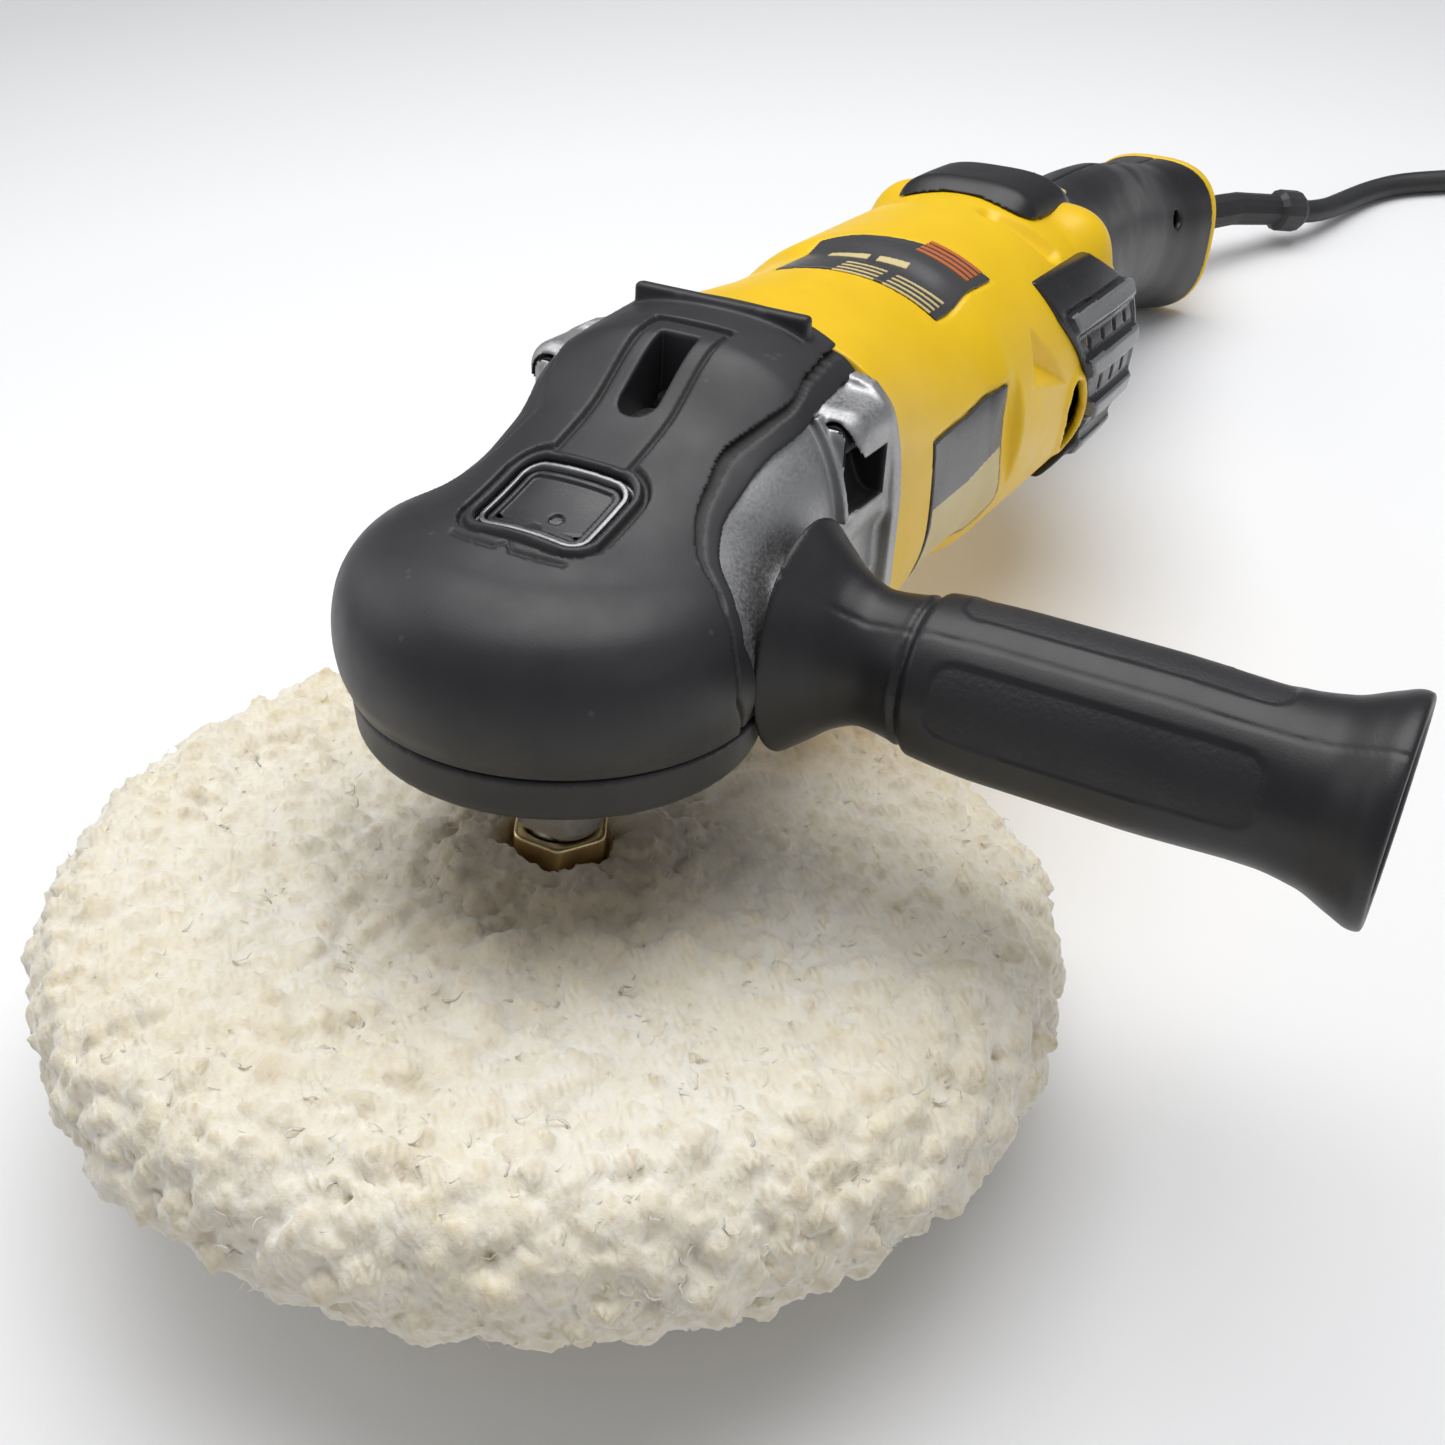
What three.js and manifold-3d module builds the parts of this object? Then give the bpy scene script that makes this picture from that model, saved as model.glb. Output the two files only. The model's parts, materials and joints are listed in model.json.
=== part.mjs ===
// Rotary polisher: a wool pad on a two-stage geared head, with its motor, rear switch handle, side
// handle and mains cord. Millimetres.
//
// Tool frame: origin at the centre of the pad's underside, +Z up the spindle, +X towards the nose,
// +Y towards the side handle. The whole tool leans back until the pad's rear edge and the flared end
// of the rear handle both stand on the floor, and it is then set down in the part's own frame.
import * as THREE from 'three';
import { ParametricGeometry } from 'three/addons/geometries/ParametricGeometry.js';
import { mergeVertices } from 'three/addons/utils/BufferGeometryUtils.js';
import Module from 'manifold-3d';

const wasm = await Module();
wasm.setup();

// ---------------------------------------------------------------- driving dimensions
const GAP = 0.35; // between touching pieces
const TAU = 2 * Math.PI;

const pad = { radius: 118, thickness: 38, edgeBelow: 15, edgeAbove: 19 };
const motorAxisZ = 103; // the motor's axis runs along X at this height
const gear = {
  module: 1, pinionTeeth: 9, wheelTeeth: 27, // helical pair, ratio 3
  bevelPinionTeeth: 9, bevelRingTeeth: 26, // bevel pair, ratio 26 : 9
  bevelRingRadius: 26, faceInner: 18.5,
};
const shaftZ = motorAxisZ + (gear.module * (gear.pinionTeeth + gear.wheelTeeth)) / 2;
const bevelTilt = Math.atan2(gear.bevelPinionTeeth, gear.bevelRingTeeth);
const coneLength = gear.bevelRingRadius / Math.cos(bevelTilt);

const head = { bottom: 83, band: 74.5, coverWall: 2.4, caseWall: 2.8, flangeX: -66, flangeThick: 5 };
const housing = { front: -71.4, rear: -288, wall: 2.6 };
const handle = { front: -288.4, rear: -426, wall: 2.6 };
const sideHandle = { x: -24, z: 97, root: 45, end: 168.5 };
const lock = { x: 11.5, holes: 8, pinRadius: 1.9, holeRadius: 2.7 };
const cord = { radius: 4.75, sides: 10 };
const coil = { x: -400, y: 168, inner: 33, outer: 71.6, top: 18.2 };

// ---------------------------------------------------------------- making solids
// The geometry with its shared vertices merged and the zero-area faces at its poles left out.
function welded(geometry) {
  const bare = geometry.clone();
  bare.deleteAttribute('normal');
  bare.deleteAttribute('uv');
  const merged = mergeVertices(bare, 1e-3);
  const corners = merged.index.array;
  const kept = [];
  for (let i = 0; i < corners.length; i += 3) {
    const [a, b, c] = corners.slice(i, i + 3);
    if (a !== b && b !== c && c !== a) kept.push(a, b, c);
  }
  merged.setIndex(kept);
  return merged;
}

function solid(geometry) {
  const mesh = welded(geometry);
  const corners = new Uint32Array(mesh.index.array);
  const made = new wasm.Manifold(
    new wasm.Mesh({ numProp: 3, vertProperties: mesh.attributes.position.array, triVerts: corners }),
  );
  if (made.volume() > 0) return made;
  for (let i = 0; i < corners.length; i += 3) [corners[i], corners[i + 1]] = [corners[i + 1], corners[i]];
  return new wasm.Manifold(
    new wasm.Mesh({ numProp: 3, vertProperties: mesh.attributes.position.array, triVerts: corners }),
  );
}

function geometryOf(body) {
  const mesh = body.getMesh();
  const geometry = new THREE.BufferGeometry();
  geometry.setAttribute('position', new THREE.BufferAttribute(new Float32Array(mesh.vertProperties), 3));
  geometry.setIndex(new THREE.BufferAttribute(new Uint32Array(mesh.triVerts), 1));
  return geometry;
}

const join = (first, ...others) => others.reduce((sum, other) => sum.add(other), first);
const cut = (first, ...others) => others.reduce((rest, other) => rest.subtract(other), first);

// A body of revolution about Z from points [radius, z] that start and end on the axis, or close.
function turned(profile, segments = 32, closed = false) {
  const points = profile.map(([r, z]) => new THREE.Vector2(r, z));
  if (closed) points.push(points[0].clone());
  return new THREE.LatheGeometry(points, segments).rotateX(Math.PI / 2);
}

const ring = (inner, outer, low, high, segments = 24) =>
  turned([[inner, low], [outer, low], [outer, high], [inner, high]], segments, true);
const rod = (radius, low, high, segments = 18) =>
  turned([[0, low], [radius, low], [radius, high], [0, high]], segments);

// Turns a body made about Z to stand about X or Y.
const aboutX = (geometry) => geometry.rotateY(Math.PI / 2);
const aboutY = (geometry) => geometry.rotateX(-Math.PI / 2);

// A box between its lowest and highest corners.
function box(low, high) {
  const size = high.map((value, i) => value - low[i]);
  const centre = high.map((value, i) => (value + low[i]) / 2);
  return new THREE.BoxGeometry(...size).translate(...centre);
}

// A closed body through rounded sections along X. Each section is
// { x, z, w, up, down, n, y }: centre height, half width, heights above and below, roundness.
function loft(sections, sides = 32) {
  const rows = sections.length + 1;
  const surface = (u, v, target) => {
    const row = Math.round(v * rows);
    const section = sections[Math.min(Math.max(row - 1, 0), sections.length - 1)];
    const { x, z = 0, w, up, down = up, n = 2, y = 0 } = section;
    if (row === 0 || row === rows) return target.set(x, y, z);
    const angle = u * TAU;
    const across = Math.cos(angle);
    const above = Math.sin(angle);
    const height = above > 0 ? up : down;
    const side = Math.sign(across) * Math.abs(across) ** (2 / n);
    const rise = Math.sign(above) * Math.abs(above) ** (2 / n);
    return target.set(x, y + w * side, z + height * rise);
  };
  return new ParametricGeometry(surface, sides, rows);
}

const shrink = (sections, by) =>
  sections.map((s) => ({ ...s, w: s.w - by, up: s.up - by, down: (s.down ?? s.up) - by }));

// A straight body with the given outline of [a, b] points, lying in the X-Z plane, from low y to high y.
function sidePlate(outline, low, high) {
  const shape = new THREE.Shape(outline.map(([x, z]) => new THREE.Vector2(x, z)));
  const made = new THREE.ExtrudeGeometry(shape, { depth: high - low, bevelEnabled: false });
  return made.rotateX(Math.PI / 2).translate(0, high, 0);
}

const curveThrough = (points) =>
  new THREE.CatmullRomCurve3(points.map((p) => new THREE.Vector3(...p)), false, 'centripetal');

// A round bar along a list of points.
function bar(points, radius, sides, steps) {
  const shape = new THREE.Shape();
  for (let i = 0; i < sides; i += 1) {
    const angle = (i / sides) * TAU;
    const [a, b] = [radius * Math.cos(angle), radius * Math.sin(angle)];
    if (i === 0) shape.moveTo(a, b);
    else shape.lineTo(a, b);
  }
  return new THREE.ExtrudeGeometry(shape, { extrudePath: curveThrough(points), steps });
}

// A round bar whose radius changes along it, from [share of length, radius] pairs.
function taperedBar(points, radii, sides) {
  const path = curveThrough(points);
  const rows = radii.length + 1;
  const frames = path.computeFrenetFrames(100);
  const surface = (u, v, target) => {
    const row = Math.round(v * rows);
    const [share, radius] = radii[Math.min(Math.max(row - 1, 0), radii.length - 1)];
    const centre = path.getPointAt(share);
    if (row === 0 || row === rows) return target.copy(centre);
    const step = Math.round(share * 100);
    const angle = u * TAU;
    target.copy(centre).addScaledVector(frames.normals[step], radius * Math.cos(angle));
    return target.addScaledVector(frames.binormals[step], radius * Math.sin(angle));
  };
  return new ParametricGeometry(surface, sides, rows);
}

// ---------------------------------------------------------------- the assembly
const tool = new THREE.Group(); // holds everything that leans with the tool
const part = new THREE.Group();
part.add(tool);

const finish = {
  wool: { color: 0xe9e4d4, roughness: 1, metalness: 0 },
  brass: { color: 0xc9a864, roughness: 0.35, metalness: 1 },
  steel: { color: 0xb9bcc0, roughness: 0.35, metalness: 1 },
  castMetal: { color: 0xa9acae, roughness: 0.5, metalness: 0.9 },
  copper: { color: 0xb87333, roughness: 0.4, metalness: 1 },
  blackRubber: { color: 0x2b2c2e, roughness: 0.75, metalness: 0 },
  blackPlastic: { color: 0x2a2b2d, roughness: 0.5, metalness: 0 },
  yellowPlastic: { color: 0xf5c414, roughness: 0.4, metalness: 0 },
  label: { color: 0x3a3a3c, roughness: 0.35, metalness: 0 },
  carbon: { color: 0x1d1d1f, roughness: 0.7, metalness: 0 },
};

function place(name, body, look, into = tool) {
  const geometry = body.isBufferGeometry ? body : geometryOf(body);
  const mesh = new THREE.Mesh(geometry, new THREE.MeshStandardMaterial(finish[look]));
  mesh.name = name;
  into.add(mesh);
  return mesh;
}

// ---------------------------------------------------------------- pad, adapter and spindle
function padProfile() {
  const { radius, thickness, edgeBelow, edgeAbove } = pad;
  const points = [[24, 7], [40, 0]];
  const steps = 3;
  for (let i = 0; i <= steps; i += 1) {
    const angle = (i / steps) * (Math.PI / 2);
    points.push([radius - edgeBelow * (1 - Math.sin(angle)), edgeBelow * (1 - Math.cos(angle))]);
  }
  for (let i = 0; i <= steps; i += 1) {
    const angle = (i / steps) * (Math.PI / 2);
    const z = thickness - edgeAbove * (1 - Math.sin(angle));
    points.push([radius - edgeAbove * (1 - Math.cos(angle)), z]);
  }
  points.push([24, 35]);
  return points;
}

function makePad() {
  place('wool_pad', turned(padProfile(), 36, true), 'wool');
  place('pad_hub', ring(11.4, 23.6, 8, 33, 24), 'blackPlastic');
  const hexagon = turned([[0, 38], [12.1, 38], [12.1, 46], [0, 46]], 6).rotateZ(Math.PI / 6);
  const adapter = cut(join(solid(hexagon), solid(rod(18, 33.4, 38.4, 24)), solid(rod(11, 12, 34, 20))),
    solid(rod(8.3, 24, 70, 20)));
  place('pad_adapter', adapter, 'brass');
}

// One straight bevel tooth: it narrows towards the cone's tip. Its foot reaches into the blank.
// Lengths run along the cone; foot, tip and widths are shares of the outer cone length.
function bevelTooth({ foot, tip, footWidth, tipWidth, inner, outer }) {
  const tooth = new THREE.BoxGeometry(1, 1, 1);
  const position = tooth.attributes.position;
  for (let i = 0; i < position.count; i += 1) {
    const along = position.getX(i) > 0 ? outer : inner;
    const high = position.getZ(i) > 0;
    const width = ((high ? tipWidth : footWidth) * Math.sign(position.getY(i))) / 2;
    position.setXYZ(i, along, (width * along) / coneLength, ((high ? tip : foot) * along) / coneLength);
  }
  return tooth;
}

const bevelProportions = {
  foot: -2.4, tip: 1.25, footWidth: 3.3, tipWidth: 1.15,
  inner: gear.faceInner / Math.cos(bevelTilt), outer: coneLength,
};
const bevelRoot = 1.75; // depth of the tooth spaces below the pitch cone

function ringGear() {
  const top = (r) => shaftZ - r * Math.tan(bevelTilt) - (bevelRoot * r) / gear.bevelRingRadius;
  const inner = gear.faceInner - 0.6;
  const outer = gear.bevelRingRadius + 0.5;
  const blank = turned([
    [6.3, 101], [outer, 103], [outer, top(outer)], [inner, top(inner)], [inner, 107], [8.6, 107],
    [8.6, 110], [6.3, 110],
  ], gear.bevelRingTeeth, true);
  let body = solid(blank);
  for (let i = 0; i < gear.bevelRingTeeth; i += 1) {
    const tooth = bevelTooth(bevelProportions).rotateY(bevelTilt).translate(0, 0, shaftZ);
    body = body.add(solid(tooth.rotateZ((i / gear.bevelRingTeeth) * TAU + Math.PI)));
  }
  for (let i = 0; i < lock.holes; i += 1) {
    const hole = rod(lock.holeRadius, 95, 112, 10).translate(lock.x, 0, 0);
    body = body.subtract(solid(hole.rotateZ((i / lock.holes) * TAU)));
  }
  return body;
}

function makeSpindle() {
  const flats = cut(solid(rod(9.8, 46.4, 73.5, 24)),
    solid(box([7.6, -12, 46], [14, 12, 70])), solid(box([-14, -12, 46], [-7.6, 12, 70])));
  const shaft = join(solid(rod(7.9, 26, 47, 20)), flats, solid(rod(8.5, 73, 96, 20)),
    solid(rod(6, 95, 113.5, 16)), solid(rod(4.9, 113, 118.8, 16)));
  place('spindle', shaft, 'steel');
  place('ring_gear', ringGear(), 'steel');
  place('spindle_bearing', ring(8.85, 17.4, 85, 94.5, 28), 'steel');
  place('spindle_bush', ring(5.25, 7.55, 114, 118.6, 16), 'brass');
}

// ---------------------------------------------------------------- gear head
const neckSections = [
  { x: 24, z: 100, w: 20, up: 20.4, down: 16.6, n: 2.1 },
  { x: 13, z: 100, w: 31, up: 24, down: 16.6, n: 2.2 },
  { x: -7, z: 100, w: 40, up: 30.6, down: 16.6, n: 2.3 },
  { x: -25, z: 100, w: 43.5, up: 36.5, down: 18, n: 2.4 },
  { x: -46, z: 100, w: 44.5, up: 49.3, down: 22, n: 2.5 },
  { x: head.flangeX, z: 100, w: 45, up: 50.8, down: 34, n: 2.6 },
];

// The outer form of the gear head, drawn in by the given amount, with its rear end at a place along X.
function headForm(inset, end = head.flangeX, sides = 28) {
  const cup = turned([
    [0, head.bottom], [46 - inset, head.bottom], [48 - inset, 92], [48 - inset, 102],
    [46 - inset, 109], [41 - inset, 115 - inset * 0.7], [32 - inset, 119.5 - inset],
    [20 - inset, 122 - inset], [0, 123 - inset],
  ], sides + 4);
  const last = { ...neckSections[neckSections.length - 1], x: end };
  return solid(cup).add(solid(loft(shrink([...neckSections.slice(0, -1), last], inset), sides)));
}

// Lower edge of the cover on both sides, as [x, z].
const coverEdge = [
  [-80, 140], [-63, 139.2], [-49, 136.9], [-34, 131.8], [-24, 126.2], [-7, 121.6], [-5.4, 119.4],
  [1.8, 113.6], [3.5, 107], [0, 97], [-9, 86], [-14, 80], [-80, 60],
];

function headCover() {
  const opening = box([-7.5, -13.2, 110], [14.6, 13.2, 140]);
  const slot = box([-46, -4.6, 120], [-25, 4.6, 160]);
  const lip = box([-66, -22.4, 148.7], [-62.5, 22.4, 152.4]);
  const sides = [[24, 60], [-60, -24]].map(([low, high]) => solid(sidePlate(coverEdge, low, high)));
  const handleSeat = loft([
    { x: sideHandle.root - GAP, w: 23.6, up: 27.6 }, { x: 60, w: 23.6, up: 27.6 },
  ], 28).rotateZ(Math.PI / 2).translate(sideHandle.x, 0, sideHandle.z);
  return join(
    cut(headForm(0), headForm(head.coverWall, head.flangeX - 1, 24), solid(opening), solid(slot), ...sides,
      solid(handleSeat), solid(box([-80, -60, 0], [-30, 60, 100])),
      solid(box([-80, -60, 60], [60, 60, head.bottom + 0.6]))),
    solid(lip),
  );
}

const caseScrewSeats = [[-58, 37, 131], [-58, -37, 131]];

function gearCase() {
  const outer = headForm(head.coverWall + GAP, head.flangeX - 2, 24);
  const inner = headForm(head.coverWall + GAP + head.caseWall, head.flangeX - 3, 14);
  const flange = loft([
    { x: head.flangeX - GAP, z: 103, w: 46, up: 44, down: 46, n: 3.4 },
    { x: head.flangeX - head.flangeThick, z: 103, w: 46, up: 44, down: 46, n: 3.4 },
  ], 28);
  const reach = head.coverWall + GAP + head.caseWall;
  const last = neckSections[neckSections.length - 1];
  const cavity = loft(shrink([
    { ...neckSections[4], x: -40 }, { ...last, x: head.flangeX - 6, up: 44, down: 38 },
  ], reach), 20);
  const well = box([-60, -34, 60], [40, 34, 88]);
  const bosses = [1, -1].map((side) => {
    const boss = aboutY(rod(13, 30, 44.5, 16));
    if (side < 0) boss.rotateZ(Math.PI);
    return solid(boss.translate(sideHandle.x, 0, sideHandle.z));
  });
  const threads = [1, -1].map((side) => {
    const hole = aboutY(rod(4.5, 31, 60, 12));
    if (side < 0) hole.rotateZ(Math.PI);
    return solid(hole.translate(sideHandle.x, 0, sideHandle.z));
  });
  const pinionRoom = turned([[0, 14], [8.4, 14], [11.4, 29], [0, 29]], 20).rotateY(-Math.PI / 2);
  pinionRoom.translate(0, 0, shaftZ);
  const web = box([-39, -32, 104], [-29.5, 32, 150]);
  const pinionSeat = aboutX(rod(13.2, -39.5, -29, 20)).translate(0, 0, shaftZ);
  const bushBoss = cut(solid(rod(10, 114, 122, 16)), solid(rod(7.95, 100, 119.2, 16)));
  const lockHole = rod(3.2, 108, 140, 16).translate(lock.x, 0, 0);
  const buttonSeat = box([-8, -13.7, 119.6], [15.1, 13.7, 140]);
  const shell = cut(join(outer, solid(flange), ...bosses), inner, solid(cavity), solid(well),
    ...threads, solid(rod(38.4, 60, 104, 28)));
  return cut(join(shell, solid(web).intersect(outer), bushBoss), solid(pinionSeat), solid(pinionRoom),
    solid(lockHole), solid(buttonSeat), solid(box([-60, -60, 60], [60, 60, head.bottom + 0.6])),
    solid(box([-60, 44.65, 0], [60, 80, 200])), solid(box([-60, -80, 0], [60, -44.65, 200])),
    ...caseScrewSeats.map(([x, y, z]) => solid(aboutX(rod(4, -8.4, 12, 12)).translate(x, y, z))));
}

function bearingCover() {
  return turned([
    [12.4, head.band], [43.6, head.band], [44.9, head.bottom], [37.9, head.bottom], [37.9, 85.4],
    [21, 85.4], [21, 95], [17.75, 95], [17.75, 84.6], [12.4, 84.6],
  ], 32, true);
}

function gearPlate() {
  const plate = loft([
    { x: -57, z: 104, w: 33, up: 31, down: 21, n: 2.6 },
    { x: -62.5, z: 104, w: 33, up: 31, down: 21, n: 2.6 },
  ], 20);
  return cut(solid(plate), solid(aboutX(rod(5.4, -70, -50)).translate(0, 0, motorAxisZ)),
    solid(aboutX(rod(7.4, -60.6, -50)).translate(0, 0, shaftZ)));
}

function makeHead() {
  place('head_cover', headCover(), 'blackRubber');
  place('gear_case', gearCase(), 'castMetal');
  place('bearing_cover', bearingCover(), 'blackRubber');
  place('gear_plate', gearPlate(), 'castMetal');
  const button = join(solid(box([-6.6, -12.2, 122.2], [13.7, 12.2, 125.6])),
    solid(rod(lock.pinRadius, 107.5, 123, 12).translate(lock.x, 0, 0)));
  place('lock_button', cut(button, solid(ring(2.9, 6.2, 118, 123.4, 16).translate(3.2, 0, 0))), 'blackPlastic');
  place('lock_spring', ring(3.3, 5.8, 119.95, 123.1, 12).translate(3.2, 0, 0), 'steel');
}

// ---------------------------------------------------------------- gears and shafts
// Outline of a spur gear with straight-sided teeth.
function spurShape(teeth, phase) {
  const pitch = (gear.module * teeth) / 2;
  const [root, tip] = [pitch - 1.15, pitch + 0.85];
  const [rootHalf, tipHalf] = [0.95 / root, 0.36 / tip];
  const points = [];
  for (let i = 0; i < teeth; i += 1) {
    const middle = ((i + phase) / teeth) * TAU;
    const corners = [[root, -rootHalf], [tip, -tipHalf], [tip, tipHalf], [root, rootHalf]];
    for (const [r, turn] of corners) {
      points.push(new THREE.Vector2(r * Math.cos(middle + turn), r * Math.sin(middle + turn)));
    }
  }
  return new THREE.Shape(points);
}

// A spur gear about X between two places. Its first tooth points down, before the phase.
function spurGear(teeth, phase, low, high) {
  const made = new THREE.ExtrudeGeometry(spurShape(teeth, phase), { depth: high - low, bevelEnabled: false });
  return made.rotateY(Math.PI / 2).translate(low, 0, 0);
}

function bevelPinion() {
  const root = (along) => (along / coneLength) * (gear.bevelRingRadius * Math.tan(bevelTilt) - bevelRoot);
  const { inner, outer } = bevelProportions;
  const [near, far] = [inner * Math.cos(bevelTilt), outer * Math.cos(bevelTilt)];
  const blank = turned([
    [0, near - 1.2], [root(inner) - 0.2, near - 1.2], [root(outer), far], [root(outer), far + 1.2],
    [0, far + 1.2],
  ], 27).rotateY(-Math.PI / 2);
  let body = solid(blank);
  for (let i = 0; i < gear.bevelPinionTeeth; i += 1) {
    const tooth = bevelTooth(bevelProportions).rotateY(-bevelTilt).rotateZ(Math.PI);
    body = body.add(solid(tooth.rotateX(((i + 0.5) / gear.bevelPinionTeeth) * TAU + Math.PI)));
  }
  return body.add(solid(aboutX(rod(5.9, -42, -26))));
}

function makeDrive() {
  const shaft = join(bevelPinion(), solid(aboutX(rod(5, -56, -40))), solid(aboutX(rod(4.2, -60.2, -55))));
  place('pinion_shaft', geometryOf(shaft).translate(0, 0, shaftZ), 'steel');
  const wheel = cut(solid(spurGear(gear.wheelTeeth, 0.5, -53, -43)), solid(aboutX(rod(5.35, -60, -40))));
  place('helical_gear', geometryOf(wheel).translate(0, 0, shaftZ), 'steel');
  place('pinion_bearing', aboutX(ring(6.25, 12.5, -38.6, -30, 20)).translate(0, 0, shaftZ), 'steel');
  place('shaft_bush', aboutX(ring(4.5, 7.05, -60.3, -57.2, 24)).translate(0, 0, shaftZ), 'brass');

  const armature = join(solid(spurGear(gear.pinionTeeth, 0.5, -54, -42)), solid(aboutX(rod(4, -76, -53))),
    solid(aboutX(rod(5, -246, -75))));
  place('armature_shaft', geometryOf(armature).translate(0, 0, motorAxisZ), 'steel');
  const along = (inner, outer, low, high, segments) =>
    aboutX(ring(inner, outer, low, high, segments)).translate(0, 0, motorAxisZ);
  place('front_bearing', along(5.35, 11, -84, -76, 18), 'steel');
  place('rear_bearing', along(5.35, 9.5, -245, -238, 18), 'steel');
  place('armature_core', along(5.35, 24, -178, -124, 24), 'steel');
  place('commutator', along(5.35, 13.5, -226, -200, 18), 'copper');
  place('stator', along(25.2, 38, -181, -121, 24), 'steel');
  place('cooling_fan', coolingFan(), 'blackPlastic');
}

function coolingFan() {
  let fan = solid(aboutX(ring(5.35, 12, -112, -96, 16)));
  fan = fan.add(solid(aboutX(ring(11, 34, -112, -109.5, 24))));
  const blades = 10;
  for (let i = 0; i < blades; i += 1) {
    const blade = box([-110, 11, -0.9], [-98, 33.5, 0.9]);
    fan = fan.add(solid(blade.rotateX((i / blades) * TAU)));
  }
  return geometryOf(fan).translate(0, 0, motorAxisZ);
}

// ---------------------------------------------------------------- motor housing
const housingSections = [
  { x: housing.front, z: motorAxisZ, w: 44.5, up: 43, down: 44.5, n: 3.2 },
  { x: -86, z: motorAxisZ, w: 44.2, up: 43.5, down: 44, n: 2.7 },
  { x: -113, z: motorAxisZ, w: 44, up: 44, n: 2.1 },
  { x: -133, z: motorAxisZ, w: 44, up: 44, n: 2 },
  { x: -147, z: motorAxisZ, w: 47, up: 47, n: 2 },
  { x: -235, z: motorAxisZ, w: 47, up: 47, n: 2 },
  { x: -252, z: motorAxisZ, w: 44, up: 43.5, n: 2 },
  { x: -270, z: motorAxisZ, w: 36, up: 36, n: 2 },
  { x: housing.rear, z: motorAxisZ, w: 27, up: 31, down: 29, n: 2.1 },
];
// Outlines on the housing: the first three lie in the X-Z plane, the last in the X-Y plane.
const filterOutline = [
  [-183, 136], [-188, 125], [-197.6, 114], [-205, 103.5], [-212, 95], [-216.5, 88], [-216.5, 82],
  [-213, 75], [-209, 70], [-262, 70], [-262, 120], [-243, 127], [-226, 136],
];
const intakeOutline = [
  [-197, 107], [-202, 105.4], [-208.5, 96.5], [-212.4, 88.5], [-212.4, 84.5], [-209, 81], [-201, 85],
  [-194.5, 92.5], [-191.2, 100], [-192.8, 104.8],
];
const nameOutline = [
  [-97, 117.6], [-120, 117.6], [-146, 119.6], [-145.4, 104], [-147, 86.5], [-141, 77], [-120, 74.5],
  [-103, 76], [-98, 84], [-97.2, 96],
];
const ratingOutline = [[-128, 28], [-164, 29], [-150, 0.5], [-144, -14], [-117, -14]];
const filterRibs = { count: 5, reach: 51.2, halfWidth: 2.2, spread: 1.1, rear: -238, front: -212 };

function motorHousing() {
  const inner = shrink(housingSections, housing.wall);
  inner[0] = { ...inner[0], x: housing.front + 2 };
  inner[inner.length - 1] = { ...inner[inner.length - 1], x: housing.rear - 2 };
  const bearingWall = (x, outer, bore) =>
    solid(aboutX(ring(bore, outer, x - 4, x + 4, 16)).translate(0, 0, motorAxisZ));
  const spokes = (x, from, reach) => [0, 1, 2].map((i) => {
    const arm = box([x - 3, -2, from], [x + 3, 2, reach]).rotateX((i / 3) * TAU);
    return solid(arm.translate(0, 0, motorAxisZ));
  });
  const shell = cut(solid(loft(housingSections, 28)), solid(loft(inner, 16)));
  const intakes = [[36, 60], [-60, -36]].map(([low, high]) => solid(sidePlate(intakeOutline, low, high)));
  const supports = [...spokes(-80, 12.5, 42.4), ...spokes(-241.5, 11, 43.2)].map((arm) =>
    arm.intersect(solid(loft(shrink(housingSections, housing.wall / 2), 14))));
  return cut(join(shell, bearingWall(-80, 14, 11.35), bearingWall(-241.5, 12.5, 9.85), ...supports),
    ...intakes);
}

// A curved cover hugging one side of the housing, with ribs along the tool.
function filterCover(side) {
  const grown = shrink(housingSections, -2.6);
  const under = solid(loft(shrink(housingSections, -GAP), 28));
  const window = solid(sidePlate(filterOutline, 15, 60));
  let cover = cut(solid(loft(grown, 28)), under).intersect(window);
  const { count, reach, halfWidth, spread, rear, front } = filterRibs;
  for (let i = 0; i < count; i += 1) {
    const turn = (i / (count - 1) - 0.5) * spread;
    const rib = box([rear, 46, -halfWidth], [front, reach, halfWidth]).rotateX(turn);
    cover = cover.add(solid(rib.translate(0, 0, motorAxisZ)).intersect(window));
  }
  cover = cut(cover, under);
  return side > 0 ? cover : cover.mirror([0, 1, 0]);
}

// A thin plate lying on the housing inside a window.
const labelOn = (window) => cut(solid(loft(shrink(housingSections, -0.9), 28)),
  solid(loft(shrink(housingSections, -GAP), 28))).intersect(window);

function namePlate(side) {
  const plate = labelOn(solid(sidePlate(nameOutline, 20, 60)));
  return side > 0 ? plate : plate.mirror([0, 1, 0]);
}

function ratingPlate() {
  const shape = new THREE.Shape(ratingOutline.map(([x, y]) => new THREE.Vector2(x, y)));
  const window = new THREE.ExtrudeGeometry(shape, { depth: 40, bevelEnabled: false });
  return labelOn(solid(window.translate(0, 0, 120)));
}

const humpSections = [
  { x: -207, z: 140, w: 19, up: 8.5, down: 20, n: 3 },
  { x: -217, z: 140, w: 22.5, up: 13.5, down: 20, n: 3 },
  { x: -240, z: 140, w: 22.5, up: 12.5, down: 20, n: 3 },
  { x: -256, z: 136, w: 20, up: 10, down: 20, n: 2.6 },
  { x: -270, z: 130, w: 17, up: 11.2, down: 20, n: 2.4 },
  { x: housing.rear, z: 122, w: 17, up: 17.2, down: 20, n: 2.4 },
];

function dialCover() {
  const dialWell = aboutY(rod(10.6, -5.6, 5.6, 18)).translate(-259, 0, 139.6);
  return cut(solid(loft(humpSections, 24)), solid(loft(shrink(housingSections, -GAP), 28)), solid(dialWell));
}

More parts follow.
